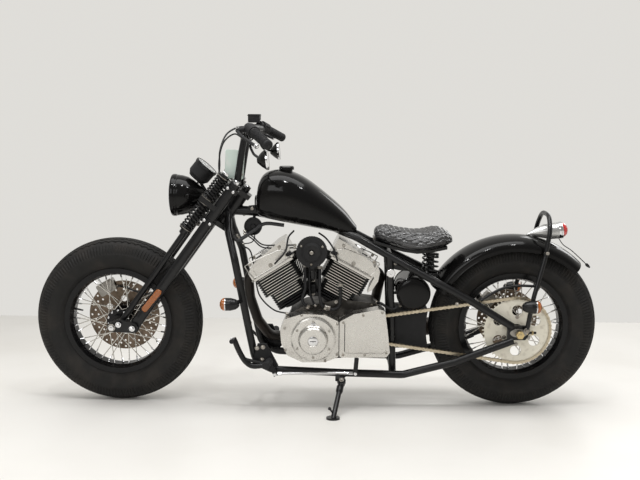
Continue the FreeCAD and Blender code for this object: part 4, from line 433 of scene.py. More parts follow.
class Forms:
    """Many forms of one finish, gathered in one mesh."""

    def __init__(self):
        self.mesh = bmesh.new()

    def ring(self, points):
        return [self.mesh.verts.new(point) for point in points]

    def skin(self, rings):
        for first, second in zip(rings, rings[1:]):
            for one, two in zip(range(len(first)), [*range(1, len(first)), 0]):
                self.mesh.faces.new((first[one], first[two], second[two], second[one]))
        self.mesh.faces.new(rings[0][::-1])
        self.mesh.faces.new(rings[-1])

    def lathe(self, place, direction, profile, steps=24):
        """A turned form from (along, out) places."""
        direction = direction.normalized()
        across, up = turned_frame(direction)
        angles = [2 * math.pi * step / steps for step in range(steps)]
        rounds = [across * math.cos(angle) + up * math.sin(angle) for angle in angles]
        self.skin([self.ring([place + direction * along + way * max(out, 0.02) for way in rounds])
                   for along, out in profile])

    def plate(self, outline, depth):
        self.skin([self.ring(outline), self.ring([point + depth for point in outline])])

    def sweep(self, path, radius, sides=10):
        """A round rod along a path; radius may be one number or one for each point."""
        radii = radius if isinstance(radius, list) else [radius] * len(path)
        across = turned_frame((path[1] - path[0]).normalized())[0]
        angles = [2 * math.pi * side / sides for side in range(sides)]
        rings = []
        for number, point in enumerate(path):
            way = (path[min(number + 1, len(path) - 1)] - path[max(number - 1, 0)]).normalized()
            across = (across - way * across.dot(way)).normalized()
            up = way.cross(across)
            rings.append(self.ring([point + (across * math.cos(angle) + up * math.sin(angle)) * radii[number]
                                    for angle in angles]))
        self.skin(rings)

    def coil(self, start, direction, radius, wire, turns, length):
        """A coil spring with flat ends."""
        across, up = turned_frame(direction)
        per_turn = 22
        total = int(turns * per_turn)
        path = []
        for step in range(total + 1):
            angle = 2 * math.pi * step / per_turn
            share = min(max((step - per_turn * 0.75) / (total - 1.5 * per_turn), 0), 1)
            rise = wire + (length - 2 * wire) * share
            path.append(start + direction * rise + (across * math.cos(angle) + up * math.sin(angle)) * radius)
        self.sweep(path, wire, 8)

    def hex_bolts(self, places, direction, size):
        for place in places:
            self.lathe(place, direction, [(0, size * 1.45), (size * 0.28, size * 1.45)], 18)
            self.lathe(place + direction.normalized() * size * 0.28, direction,
                       [(0, size), (size * 0.75, size), (size * 0.95, size * 0.82)], 6)

    def cap_bolts(self, places, direction, size):
        for place in places:
            self.lathe(place, direction, [(0, size), (size * 0.8, size), (size, size * 0.85),
                                          (size, size * 0.5), (size * 0.45, size * 0.46)], 14)

    def nut(self, place, direction, size, height):
        self.lathe(place, direction, [(0, size * 0.93), (height * 0.12, size), (height * 0.85, size),
                                      (height, size * 0.9), (height, size * 0.5), (height * 1.15, size * 0.5),
                                      (height * 1.2, size * 0.4)], 6)

    def finish(self, name, body, surface, sharp=32, bevel=0.0):
        bmesh.ops.recalc_face_normals(self.mesh, faces=self.mesh.faces)
        bmesh.ops.transform(self.mesh, matrix=UPRIGHT @ Matrix.Scale(MM, 4), verts=self.mesh.verts)
        mesh = bpy.data.meshes.new(name)
        self.mesh.to_mesh(mesh)
        self.mesh.free()
        return show(mesh, name, body, surface, sharp, bevel)


def show(mesh, name, body, surface, sharp=32, bevel=0.0):
    """Makes a piece of a mesh. It rides on a body given by name; given two bodies with a start and an end, it
    rides on neither and stays where it is built.
    """
    mesh.shade_smooth()
    mesh.set_sharp_from_angle(angle=math.radians(sharp))
    mesh.materials.append(surface.material)
    piece = bpy.data.objects.new(name, mesh)
    bpy.context.scene.collection.objects.link(piece)
    if bevel:
        rounding = piece.modifiers.new("rounding", "BEVEL")
        rounding.width, rounding.segments, rounding.limit_method = bevel * MM, 2, "ANGLE"
    if isinstance(body, str):
        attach(piece, body)
    else:
        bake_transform(piece)
    return piece


# Wheels

def tyre_profile(radius, crown, tread_half):
    """A balloon tyre's section, as (across, out, kind) places from bead to bead."""
    bead, flange, inside, wall_radius = 40.7, 221.3, 203.3, 90.0
    crown_out = radius - crown
    start, stop = Vector((bead, flange)), Vector((crown, crown_out))
    chord = stop - start
    normal = Vector((chord.y, -chord.x)).normalized()
    centre = (start + stop) / 2 - normal * math.sqrt(wall_radius ** 2 - (chord.length / 2) ** 2)
    low = math.atan2(start.y - centre.y, start.x - centre.x)
    high = math.atan2(stop.y - centre.y, stop.x - centre.x)
    half = [(bead, inside, "wall")]
    for step in range(13):
        angle = low + (high - low) * step / 12
        reach = wall_radius + (1.3 if step in (3, 4) else 0.0)
        half.append((centre.x + reach * math.cos(angle), centre.y + reach * math.sin(angle), "wall"))
    edge = math.acos(tread_half / crown)
    for step in range(1, 12):
        angle = edge * step / 11
        half.append((crown * math.cos(angle), crown_out + crown * math.sin(angle), "shoulder"))
    pace = 1.75
    tread = [(across, crown_out + math.sqrt(crown ** 2 - across ** 2), "tread")
             for across in [tread_half - pace * step for step in range(1, int(2 * tread_half / pace))]]
    return half + tread + [(-across, out, kind) for across, out, kind in reversed(half)]


def tyre(end, axle, radius, crown, tread_half, body):
    """A balloon tyre: zigzag grooves in the tread, ribs on the shoulders, a raised line on the walls."""
    profile = tyre_profile(radius, crown, tread_half)
    crown_out = radius - crown
    segments, zigzags = 600, 75
    grooves = [share * tread_half for share in (-0.86, -0.5, -0.17, 0.17, 0.5, 0.86)]
    points, faces = [], []
    for segment in range(segments):
        angle = 2 * math.pi * segment / segments
        swing = 2.6 * (1 - 4 * abs(segment * zigzags / segments % 1 - 0.5))
        for across, out, kind in profile:
            cut = 0.0
            if kind == "tread":
                near = min(abs(across - groove - swing) for groove in grooves)
                cut = 5.0 * max(0.0, 1 - (near / 1.9) ** 4)
            elif kind == "shoulder" and 0.12 * crown < out - crown_out < 0.62 * crown:
                cut = 2.6 if segment % 4 < 2 else 0.0
            way = Vector((across, out - crown_out)).normalized() * cut
            reach = out - way.y
            points.append(UPRIGHT @ (axle + Vector((math.sin(angle) * reach, across - way.x,
                                                    math.cos(angle) * reach)) * MM))
    count = len(profile)
    for segment in range(segments):
        first, second = segment * count, (segment + 1) % segments * count
        for step in range(count):
            after = (step + 1) % count
            faces.append((first + step, first + after, second + after, second + step))
    mesh = bpy.data.meshes.new(f"{end}_tyre_tread")
    mesh.from_pydata(points, [], faces)
    mesh.flip_normals()
    piece = show(mesh, f"{end}_tyre_tread", body, RUBBER, 28)
    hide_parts(f"{end}_tyre")


def wheel_fittings(end, axle, body, hub_half_right, valve_angle):
    """Spoke nipples, hub ribs, rotor bolts and the tyre valve."""
    axle = axle / MM
    bright, dark = Forms(), Forms()
    spokes, lead = 40, math.radians(62)
    for number in range(spokes):
        side = -1 if number % 2 else 1
        turn = lead if number % 4 < 2 else -lead
        angle = math.pi / 2 - 2 * math.pi * number / spokes
        start = radial(angle - turn) * 43 + SIDE * side * 33
        stop = radial(angle) * 194.5 + SIDE * side * 9
        way = (stop - start).normalized()
        bright.lathe(axle + stop - way * 23, way, [(0, 2.4), (1.5, 3.3), (16, 3.3), (19, 4.4)], 8)
        bright.lathe(axle + start - way * 2 + SIDE * side * 2.3, SIDE * side,
                     [(0, 4.2), (1.6, 3.8), (2.4, 2.2)], 8)
    bright.cap_bolts(circle(axle + SIDE * hub_half_right, 38, 6, math.pi / 2 - 0.3), SIDE, 5.2)
    for offset in (-22, -14, 14, 22):
        dark.lathe(axle + SIDE * (offset - 1.6), SIDE, [(0, 27), (0.6, 29.5), (2.6, 29.5), (3.2, 27)], 40)
    way = radial(math.radians(valve_angle))
    valve = [(0, 6), (3, 6), (6, 4), (24, 3.8), (26, 3.2), (33, 3.2), (34, 2.4)]
    dark.lathe(axle + way * 193, -way, valve, 12)
    bright.finish(f"{end}_nipples", body, CHROME)
    dark.finish(f"{end}_hub_ribs", body, SATIN)


tyre("front", FRONT, 341, 65, 42, "front_wheel")
tyre("rear", REAR, 338, 70, 46, "rear_wheel")
wheel_fittings("front", FRONT, "front_wheel", 62.5, 168)
wheel_fittings("rear", REAR, "rear_wheel", 86.5, 200)


# Final drive

SPROCKET = spot(1610, 338.5)


def chain_path():
    """Places along the chain's pitch line, one for each link."""
    front, rear = spot(985, 335), SPROCKET
    small, large, pitch = 41.0, 133.0, 15.875
    run = rear - front
    slope, wrap = math.atan2(run.z, run.x), math.acos((small - large) / run.length)
    low, high = radial(slope - wrap), radial(slope + wrap)
    straight = math.sqrt(run.length ** 2 - (large - small) ** 2)
    back_arc, front_arc = 2 * wrap * large, 2 * (math.pi - wrap) * small
    whole = 2 * straight + back_arc + front_arc
    links = 2 * round(whole / pitch / 2)

    def place(length):
        if length < back_arc:
            return rear + radial(slope + wrap - length / large) * large
        length -= back_arc
        if length < straight:
            return (rear + low * large).lerp(front + low * small, length / straight)
        length -= straight
        if length < front_arc:
            return front + radial(slope - wrap - length / small) * small
        return (front + high * small).lerp(rear + high * large, (length - front_arc) / straight)
    return [place(whole * link / links) for link in range(links)]


def drive_chain():
    """Roller chain: waisted inner and outer plates, rollers and riveted pins."""
    pins = chain_path()
    forms = Forms()
    middle = -98.0
    for number, (first, second) in enumerate(zip(pins, pins[1:] + pins[:1])):
        along = (second - first).normalized()
        up = Vector((-along.z, 0, along.x))
        centre, half = (first + second) / 2, (second - first).length / 2
        outline = []
        for end in (1, -1):
            for degrees in (-78, -40, 0, 40, 78):
                angle = math.radians(degrees)
                outline.append(centre + along * end * (half + 6.6 * math.cos(angle))
                               + up * end * 6.6 * math.sin(angle))
            outline.append(centre + up * end * 4.6)
        offset = 3.0 if number % 2 else 4.6
        for side in (-1, 1):
            forms.plate([point + SIDE * (middle + side * offset) for point in outline], SIDE * side * 1.4)
        forms.lathe(first + SIDE * (middle - 3), SIDE, [(0, 4.5), (6, 4.5)], 12)
        forms.lathe(first + SIDE * (middle - 6), SIDE, [(0, 1.6), (0.4, 2.3), (11.6, 2.3), (12, 1.6)], 8)
    piece = forms.finish("drive_chain", "chassis", CHAIN, 40)
    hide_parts("chain")


def sprocket_fittings():
    """The rear sprocket's teeth and bolts."""
    teeth, bolts = Forms(), Forms()
    count = 53
    flank = ((126, 3.6), (130, 2.8), (134, 1.9), (136.4, 0.8))
    for number in range(count):
        angle = 2 * math.pi * (number + 0.5) / count
        out, way = radial(angle), radial(angle + math.pi / 2)
        outline = [out * reach + way * wide for reach, wide in flank]
        outline += [out * reach - way * wide for reach, wide in reversed(flank)]
        teeth.plate([SPROCKET + SIDE * -99.6 + point for point in outline], SIDE * 3.2)
    teeth.finish("sprocket_teeth", "rear_wheel", CREAM)
    bolts.hex_bolts(circle(SPROCKET + SIDE * -101, 56, 6, math.pi / 6), -SIDE, 5.5)
    bolts.finish("sprocket_bolts", "rear_wheel", STEEL)


drive_chain()
sprocket_fittings()


# Springer fork

def fork(along, ahead, side=0.0):
    """A place by the steering axis: up along it, ahead of it and to one side."""
    return spot(478, 820) + STEER_UP * along + STEER_AHEAD * ahead + SIDE * side


def fork_springs():
    springs = Forms()
    for side in (-1, 1):
        for start, length in ((-171, 124), (-27, 106)):
            springs.coil(fork(start + 0.5, 95, side * 95), STEER_UP, 22.2, 3.6, 9.5, length - 1)
    piece = springs.finish("fork_coils", "steering", SATIN, 60)
    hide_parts("fork_springs")


def fork_details():
    """Spring seats, collars, nuts and bolts of the fork."""
    pale, bolts, dark = Forms(), Forms(), Forms()
    for side in (-1, 1):
        for along in (-173.5, -49.5, -26.5, 77):
            pale.lathe(fork(along, 95, side * 95), STEER_UP, [(0, 27), (0.6, 28), (2.4, 28), (3, 27)], 36)
        bolts.nut(fork(90, 95, side * 95), STEER_UP, 15, 9)
        bolts.cap_bolts([fork(88, 40, side * 105)], STEER_UP, 13)
        bolts.cap_bolts([fork(along, ahead, side * 132) for ahead in (28, 54) for along in (60, -95)],
                        SIDE * side, 6)
        bolts.hex_bolts(spots(((28, 353.5), (82, 338.5)), side * 138), SIDE * side, 8)
        bolts.nut(spot(0, 341.5, side * 138), SIDE * side, 12, 9)
        dark.lathe(fork(-200, 95, side * 95), STEER_UP, [(0, 13), (2, 15), (20, 15), (22, 13)])
    bolts.nut(fork(86, 0), STEER_UP, 17, 10)
    pale.finish("spring_washers", "steering", STEEL)
    bolts.finish("fork_bolts", "steering", CHROME)
    dark.finish("spring_leg_collars", "steering", SATIN)


def fork_reflector():
    reflector, holder = Forms(), Forms()
    low, high = spot(134, 418, -127), spot(190, 486, -127)
    way = (high - low).normalized()
    wide = way.cross(SIDE)
    outline = []
    for end, centre in ((1, high), (-1, low)):
        for degrees in range(-90, 91, 22):
            angle = math.radians(degrees)
            outline.append(centre + (way * math.cos(angle) + wide * math.sin(angle)) * 12 * end)
    reflector.plate(outline, -SIDE * 5)
    middle = sum(outline, Vector()) / len(outline)
    holder.plate([middle + (point - middle) * 1.1 for point in outline], SIDE * 4)
    reflector.finish("fork_reflector", "steering", AMBER, bevel=1.2)
    holder.finish("reflector_holder", "steering", MATT, bevel=0.8)


def headlight():
    """A hollow bowl with a gloss rim, a reflector, a bulb and a domed glass."""
    front, stay = spot(230, 858), fork(-37, 107)
    bowl, rim, dish, glass = Forms(), Forms(), Forms(), Forms()
    outer = [(9, 0.955), (19, 0.96), (22, 0.96), (41, 0.94), (64, 0.86), (87, 0.7), (109, 0.48),
             (127.5, 0.28)]
    bowl.lathe(front, BACK, [(along, share * 85) for along, share in outer] + [(127.8, 10), (127.8, 0)], 72)
    bowl.lathe(front + BACK * 22, BACK, [(0, 81), (3, 82.5), (6, 81)], 72)
    arm = stay - front - BACK * 115
    bowl.lathe(front + BACK * 115, arm, [(0, 15), (arm.length, 15)])
    shell = bowl.finish("headlight_bowl", "steering", BLACK)
    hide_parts("headlight_shell")
    rim.lathe(front, BACK, [(1.5, 78.5), (0.5, 80.5), (1, 83), (4, 84.6), (9, 85), (15, 84.6), (19, 82.5),
                            (19, 78), (4, 78)], 72)
    for side in (-1, 1):
        rim.cap_bolts([spot(303, 862, side * 74)], SIDE * side, 9)
    rim.finish("headlight_rim", "steering", BLACK)
    dish.lathe(front, BACK, [(62, 12), (50, 30), (36, 47), (20, 63), (9, 72), (5, 77.5), (5.6, 78.5),
                             (12, 74), (40, 50), (66, 14)], 72)
    dish.lathe(front + BACK * 20, BACK, [(0, 2), (2, 9), (20, 9), (36, 11)])
    dish.finish("headlight_reflector", "steering", MIRROR)
    glass.lathe(front, -BACK, [(-3, 78), (0, 77.5), (3, 74), (5.4, 62), (7.6, 42), (8.8, 20), (9, 0),
                               (6.6, 0), (5.2, 42), (3, 62), (0, 74), (-3, 76)], 96)
    lens_piece = glass.finish("headlight_glass", "steering", GLASS, 50)
    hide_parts("headlight_lens")


fork_springs()
fork_details()
fork_reflector()
headlight()


# Handlebar

def bar_end(side):
    """The bar's end, its outward direction and the middle of the lever's perch."""
    end = spot(645, 1078, side * 352)
    run = (end - spot(585, 1118, side * 250)).normalized()
    return end, run, end - run * 168.3


def grips():
    ribbed = Forms()
    profile = [(-120, 13.1), (-120, 19.6), (-116, 20), (-112.5, 19.2), (-111.5, 17)]
    for rib in range(20):
        start = -111 + rib * 5.3
        profile += [(start, 16.6), (start + 0.9, 18.3), (start + 3.2, 18.3), (start + 4.1, 16.6)]
    profile += [(-4, 17), (0, 18.6), (4, 18.2), (7.5, 15), (9, 8), (8, 4), (8, 0)]
    for side in (-1, 1):
        end, run, _ = bar_end(side)
        ribbed.lathe(end, run, profile, 36)
    piece = ribbed.finish("ribbed_grips", "steering", GRIP, 40)
    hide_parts("grips")


def lever_fittings(side, bright, dark):
    """Screws and end ball of a lever, and the buttons of its switch."""
    end, run, perch = bar_end(side)
    ahead = (-BACK + run * BACK.dot(run)).normalized()
    above = run.cross(ahead) * side
    bright.cap_bolts([perch + above * 17 - run * 6, perch + above * 17 + run * 8], above, 4)
    bright.hex_bolts([perch + ahead * 46 + above * 10.5], above, 5)
    bright.lathe(end + ahead * 40 - run * 14, run, [(0, 5), (3, 8.5), (8, 9.2), (13, 7), (15, 2)], 20)
    for step, size in ((132, 6), (146, 5)):
        dark.lathe(end - run * step - ahead * 19, -ahead,
                   [(0, size + 1), (4, size + 1), (4.5, size), (8, size * 0.8)], 16)


def bar_fittings():
    """Lever screws, mirror glasses, the fluid box's lid and the clamps of the risers."""
    bright, dark, glass = Forms(), Forms(), Forms()
    tilt = Vector((1, 0, 0.1)).normalized()
    for side in (-1, 1):
        lever_fittings(side, bright, dark)
        back = spot(600, 1018, side * 280)
        glass.lathe(back, tilt, [(38.2, 33.8), (39.6, 33), (40.2, 20), (40.4, 0)], 48)
        bright.lathe(back + tilt * 33, tilt, [(0, 38.1), (3, 38.4), (6.8, 38.2), (7, 35), (5.6, 34)], 56)
        clamp = spot(532, 1110, side * 60)
        dark.lathe(clamp - SIDE * 9, SIDE, [(0, 16.5), (1.5, 18), (16.5, 18), (18, 16.5)], 28)
        bright.cap_bolts([spot(549, 1118, side * 55)], Vector((1, 0, 0.3)), 4)
        bright.cap_bolts([spot(515, 1105, side * 55)], Vector((-1, 0, -0.2)), 4)
    box = bar_end(1)[2]
    bright.cap_bolts([box + Vector((x, y, 44)) for x in (-45, -6) for y in (-24, 24)], UP, 2.8)
    dark.plate([box + Vector((x, y, 41.5)) for x, y in ((-52, -32), (1, -32), (1, 32), (-52, 32))], UP * 3)
    bright.finish("bar_bolts", "steering", CHROME)
    dark.finish("switch_buttons", "steering", MATT, bevel=0.6)
    glass.finish("mirror_glasses", "steering", MIRROR)


def speedometer_dial():
    """Face, marks, needle, rim and glass of the speedometer."""
    facing = radial(math.radians(49))
    face = spot(371, 977)
    upright = facing.cross(SIDE)
    first, spacing, count = -130, 6.5, 41
    ways = []
    for number in range(count):
        angle = math.radians(first + spacing * number)
        ways.append(upright * math.cos(angle) + SIDE * math.sin(angle))
    dial, marks, rim, glass = Forms(), Forms(), Forms(), Forms()
    dial.lathe(face - facing * 2.2, facing, [(0, 43.6), (0.6, 43.6), (0.6, 0)], 48)
    for number, way in enumerate(ways):
        start, half = (36, 0.35) if number % 5 else (33, 0.7)
        wide = facing.cross(way) * half
        foot, top = face + way * start - facing * 1.4, face + way * 40 - facing * 1.4
        marks.plate([foot - wide, foot + wide, top + wide, top - wide], facing * 0.3)
    wide = facing.cross(ways[0])
    needle = [(-8, 1.6), (34, 0.4), (34, -0.4), (-8, -1.6)]
    marks.plate([face - facing + ways[0] * reach + wide * half for reach, half in needle], facing * 0.4)
    marks.lathe(face - facing * 1.2, facing, [(0, 4), (1.4, 3.6), (1.6, 0)], 20)
    rim.lathe(face - facing * 7, facing,
              [(0, 49.2), (4, 49.6), (7.4, 49), (8.6, 46.8), (7.4, 44.4), (5, 44)], 64)
    glass.lathe(face - facing * 0.2, facing,
                [(-0.5, 44), (0.8, 43), (1.4, 30), (1.6, 0), (1.0, 0), (0.8, 30), (0.1, 43)], 48)
    dial.finish("dial", "steering", DIAL)
    marks.finish("dial_marks", "steering", MATT)
    rim.finish("dial_rim", "steering", SATIN)
    glass.finish("dial_glass", "steering", GLASS)


def blank_plate():
    """The blank pale plate that hangs beside the risers."""
    plate, screws = Forms(), Forms()
    corners = [spot(452, 1046, -44), spot(528, 1040, -40), spot(520, 926, -40), spot(446, 932, -44)]
    outline = []
    for number, corner in enumerate(corners):
        before, after = corners[number - 1], corners[(number + 1) % 4]
        one, two = (before - corner).normalized() * 7, (after - corner).normalized() * 7
        for share in (0.0, 0.5, 1.0):
            outline.append(corner + one * (1 - share) ** 2 + two * share ** 2)
    plate.plate(outline, -SIDE * 1.4)
    plate.finish("blank_plate", "steering", PLATE, bevel=0.3)
    middle = sum(corners, Vector()) / 4
    for x, z in ((28, 44), (26, -40)):
        screws.lathe(middle + spot(x, z), Vector((0.35, -0.7, 0)), [(-14, 3), (4, 3), (4, 5), (6, 5)], 14)
    screws.finish("plate_screws", "steering", STEEL)


grips()
bar_fittings()
speedometer_dial()
blank_plate()


# Engine

def cylinder_spot(end, across, height, side):
    """A place of a cylinder's own frame: across the vee, up its axis and to one side."""
    up = CYLINDER_UP[end]
    return CRANK / MM + up.cross(SIDE) * -across + up * height + SIDE * side


def head_bead(end, forward, side):
    """The raised edge round the dished panel of a rocker cover."""
    outline = [(-83, 317), (-84, 345), (-58, 364), (54, 379), (90, 379), (90, 347), (83, 317), (-83, 317)]
    corners = [cylinder_spot(end, -forward * across, height, side * 77.5) for across, height in outline]
    path = []
    for first, second in zip(corners, corners[1:]):
        path += [first.lerp(second, share) for share in (0.06, 0.5, 0.94)]
    return path + path[:1]


def head_fittings(end, forward, bolts, caps, dark, bright):
    """Bolts, slots drawn as black strips of painted shade, raised edges, spark plug and cap of one cylinder
    head.
    """
    up = CYLINDER_UP[end]
    for side in (-1, 1):
        out = SIDE * side
        bolts.cap_bolts([cylinder_spot(end, across, 313.5, side * 78) for across in (-82, 82)], up, 5)
        bolts.hex_bolts([cylinder_spot(end, across, 372, side * 78) for across in (-68.88, 68.88)], out, 4.6)
        bolts.hex_bolts([cylinder_spot(end, 0, 328, side * 74)], out, 6)
        # Painted shade: each slot is a thin matt black strip laid on the cover, standing in for the shade in
        # a recess.
        slot = [cylinder_spot(end, x - forward * 20, 382 + z, side * 78.2) for x, z in oblong(12, 2.6)]
        dark.plate(slot, out * 0.5)
        bright.sweep(head_bead(end, forward, side), 2.4, 8)
    plug = cylinder_spot(end, forward * 70, 330, -66)
    out = (-up.cross(SIDE) * forward * 0.75 - SIDE * 0.9).normalized()
    bright.lathe(plug, out, [(0, 9), (3, 9), (3, 7), (14, 7), (14, 5), (22, 5)], 6)
    dark.lathe(plug + out * 18, out, [(0, 8), (22, 8), (26, 6), (30, 4)], 16)
    caps.lathe(cylinder_spot(end, 0, 388, 0), up, [(0, 26), (2, 26), (4, 24), (4, 0)], 36)


def cover_fittings(bolts, caps, dark):
    """Screws, slotted plugs and the groove of the covers; the slots and the groove are black strips of
    painted shade.
    """
    alternator = ((897, 371), (897, 247), (690, 352), (693, 262), (850, 220), (757, 405))
    sprocket = ((921, 382), (1072, 424), (1090, 262), (921, 252), (1006, 252), (998, 412))
    bolts.cap_bolts(spots(alternator, -150), -SIDE, 5.2)
    bolts.cap_bolts(circle(spot(803, 310, -165.3), 73, 6, math.pi / 6), -SIDE, 4.6)
    caps.lathe(spot(803, 310, -187), -SIDE, [(0, 19), (1.6, 19), (2.2, 18), (2.2, 4), (1.2, 3.6)], 36)
    # Painted shade: the slots of both plugs are thin matt black strips laid on the caps, standing in for the
    # shade in a recess.
    dark.plate([spot(803 + x, 310 + z, -188.6) for x, z in oblong(12, 1.4)], -SIDE * 0.8)
    caps.lathe(spot(804, 371, -165.2), -SIDE, [(0, 11), (2, 11), (2.6, 10), (2.6, 0)], 28)
    dark.plate([spot(804 + x, 371 + z, -167.6) for x, z in oblong(7, 1.1)], -SIDE * 0.6)
    bolts.cap_bolts(spots(sprocket, -169.8), -SIDE, 5)
    # Painted shade: the groove is a thin matt black strip on the cover, standing in for the shade in a
    # recess.
    dark.plate(spots(((925, 262), (928, 262), (928, 384), (925, 384)), -167.1), -SIDE * 0.5)
    bolts.cap_bolts(circle(spot(905, 310, 113.6), 80, 8, math.pi / 8), SIDE, 4.8)
    bolts.cap_bolts(circle(spot(775, 310, 104.6), 44, 5, math.pi / 5), SIDE, 4)


def engine_details():
    bolts, caps, dark, bright = Forms(), Forms(), Forms(), Forms()
    cover_fittings(bolts, caps, dark)
    head_fittings("front", 1, bolts, caps, dark, bright)
    head_fittings("rear", -1, bolts, caps, dark, bright)
    case = ((716, 246), (716, 372), (892, 440), (1034, 428), (1078, 378), (1080, 320), (1062, 232),
            (972, 222))
    for side in (-1, 1):
        bolts.hex_bolts(spots(case, side * 72), SIDE * side, 5)
    bolts.hex_bolts([spot(860, 204, -30)], -UP, 9)
    bolts.finish("engine_bolts", "chassis", STEEL)
    caps.finish("engine_caps", "chassis", CHROME)
    # The slot and groove strips in this piece are painted shade; the plug caps are real black parts.
    dark.finish("engine_recess_shade_and_plug_caps", "chassis", MATT)
    bright.finish("head_edges", "chassis", POLISHED)


def air_cleaner():
    """Ribs and screws of the round air cleaner."""
    ribs, screws = Forms(), Forms()
    place = spot(794, 649, -112)
    ribs.lathe(place, -SIDE, [(-24, 58), (-23.5, 60.8), (-5, 60.8), (-4.5, 58), (-1, 58), (-0.5, 60.6),
                              (1.2, 60.6), (1.5, 59), (2, 40)], 64)
    for foot in circle(place, 60.6, 36, 0):
        ribs.sweep([foot + SIDE * 5.5, foot + SIDE * 23], 1.3, 6)
    screws.cap_bolts(circle(place - SIDE, 48, 3, 0.5), -SIDE, 4.4)
    screws.cap_bolts([place - SIDE * 9], -SIDE, 8)
    ribs.finish("air_cleaner_ribs", "chassis", MATT)
    screws.finish("air_cleaner_screws", "chassis", STEEL)


def vee_details():
    """Float bowl, coil bracket and its plug between the two cylinders."""
    dark, matt, bright = Forms(), Forms(), Forms()
    dark.lathe(spot(796, 526, -34), UP, [(0, 15), (2, 20), (4, 26), (22, 30), (34, 30), (36, 33),
                                         (42, 33), (44, 31), (58, 31)], 32)
    dark.lathe(spot(796, 517, -34), UP, [(0, 6), (1, 7.5), (9, 7.5), (10, 6)], 6)
    bracket = [(780, 452), (820, 452), (824, 500), (820, 540), (806, 560), (788, 560), (776, 540), (774, 500)]
    dark.plate(spots(bracket, -30), SIDE * 3)
    for edge in (((778, 456), (775, 500), (778, 538)), ((820, 456), (823, 500), (819, 538))):
        dark.sweep(spots(edge, -34), 3.2, 8)
    matt.lathe(spot(799, 470, -44), UP, [(0, 9), (1.5, 11), (6, 11), (7, 12.5), (22, 12.5), (23, 11),
                                         (36, 11), (38, 8)], 8)
    for height in (480, 486, 492):
        matt.lathe(spot(799, height, -44), UP, [(0, 12), (1, 13.6), (3, 13.6), (4, 12)], 8)
    bright.hex_bolts(spots(((799, 462), (799, 519)), -30), -SIDE, 4.4)
    bright.cap_bolts(spots(((774, 566), (818, 566)), -50), -SIDE, 3.2)
    dark.finish("float_bowl_and_bracket", "chassis", SATIN, bevel=0.6)
    matt.finish("coil_plug", "chassis", MATT)
    bright.finish("bracket_bolts", "chassis", STEEL)


engine_details()
air_cleaner()
vee_details()


# Hoses, cables and wiring

def line(name, body, surface, radius, points, ferrules=True, sides=10):
    """A fixed line through (x, z, y) places, with a crimped ferrule at both ends."""
    path = smooth_path([spot(*point) for point in points])
    hose = Forms()
    hose.sweep(path, radius, sides)
    hose.finish(name, body, surface, 60)
    if ferrules:
        ends = Forms()
        profile = [(0, radius * 1.3), (1, radius * 1.75), (11, radius * 1.75), (13, radius * 1.25)]
        for start, after in ((path[0], path[1]), (path[-1], path[-2])):
            way = (after - start).normalized()
            ends.lathe(start - way * 1.5, way, profile, 14)
        ends.finish(f"{name}_ends", body, STEEL)


def steering_lines():
    """Brake hose and cables of the handlebar. Two of them run from the bars to the frame and ride on neither,
    so they stay where they are built.
    """
    line("brake_hose", "steering", HOSE, 3.6, [
        (556, 1096, 208), (500, 1128, 150), (446, 1104, 60), (424, 1040, 0), (425, 975, -30), (420, 900, -52),
        (404, 830, -62), (372, 760, -78), (336, 690, -84), (311, 640, -84), (240, 545, -84), (150, 470, -78),
        (84, 474, -66), (20, 470, 20), (-30, 466, 58)])
    bars_to_frame = ("steering", "chassis", spot(440, 980), spot(495, 710))
    line("clutch_cable", bars_to_frame, HOSE, 3.0, [
        (540, 1096, -214), (500, 1108, -160), (452, 1070, -110), (430, 990, -80), (438, 900, -72),
        (462, 820, -70), (486, 752, -66), (496, 700, -60)])
    line("throttle_cable", bars_to_frame, HOSE, 3.0, [
        (552, 1090, 214), (520, 1060, 160), (490, 990, 90), (486, 900, 60), (500, 830, 52), (512, 770, 50)])
    line("speedometer_cable", "steering", HOSE, 3.2, [
        (332, 932, 0), (330, 880, 34), (360, 800, 60), (352, 720, 72), (300, 620, 80), (210, 500, 82),
        (110, 392, 84), (40, 344, 84)])


def engine_lines():
    """Wires and hoses from the frame to the engine and about it."""
    line("horn_wire", "chassis", HOSE, 2.2, [
        (556, 720, 4), (560, 690, -14), (548, 672, -30), (512, 668, -44)])
    line("wiring_loom", "chassis", BRAID, 7.5, [
        (470, 728, -52), (478, 700, -58), (496, 686, -60), (524, 698, -52), (560, 722, -36), (604, 748, -24),
        (680, 742, -22)], False, 14)
    line("clutch_run", "chassis", HOSE, 3.0, [
        (500, 700, -58), (516, 664, -54), (548, 640, -58), (566, 560, -70), (584, 470, -84), (640, 412, -92),
        (700, 396, -96)])
    for number, drop in enumerate((0, 11)):
        line(f"carburettor_cable_{number}", "chassis", HOSE, 2.8, [
            (520, 722 - drop, -40), (556, 700 - drop, -50), (596, 668 - drop, -54), (660, 666 - drop, -52),
            (730, 668 - drop, -58)])
    line("oil_hose_front", "chassis", HOSE, 6.5, [
        (826, 588, -86), (826, 540, -94), (826, 480, -96), (832, 440, -94), (846, 424, -92), (866, 418, -90)])
    line("oil_hose_rear", "chassis", HOSE, 6.5, [
        (846, 424, -92), (878, 414, -92), (902, 428, -92), (908, 462, -92), (908, 520, -90)])
    line("breather_hose", "chassis", HOSE, 6.5, [
        (766, 592, -76), (768, 550, -84), (768, 500, -92), (758, 466, -98), (762, 440, -98), (782, 424, -92)])
    line("vent_hose", "chassis", HOSE, 4.2, [
        (782, 590, -60), (784, 540, -68), (786, 480, -72), (800, 440, -78), (812, 424, -84)])
    line("plug_lead_front", "chassis", HOSE, 3.5, [
        (648, 600, -108), (690, 650, -104), (700, 700, -70), (720, 722, -36)], False)
    line("plug_lead_rear", "chassis", HOSE, 3.5, [
        (896, 612, -104), (880, 660, -96), (850, 696, -60), (820, 714, -34)], False)
    line("oil_feed", "chassis", HOSE, 5.5, [
        (1150, 432, -70), (1122, 416, -84), (1096, 424, -88), (1070, 440, -84), (1052, 436, -60)])


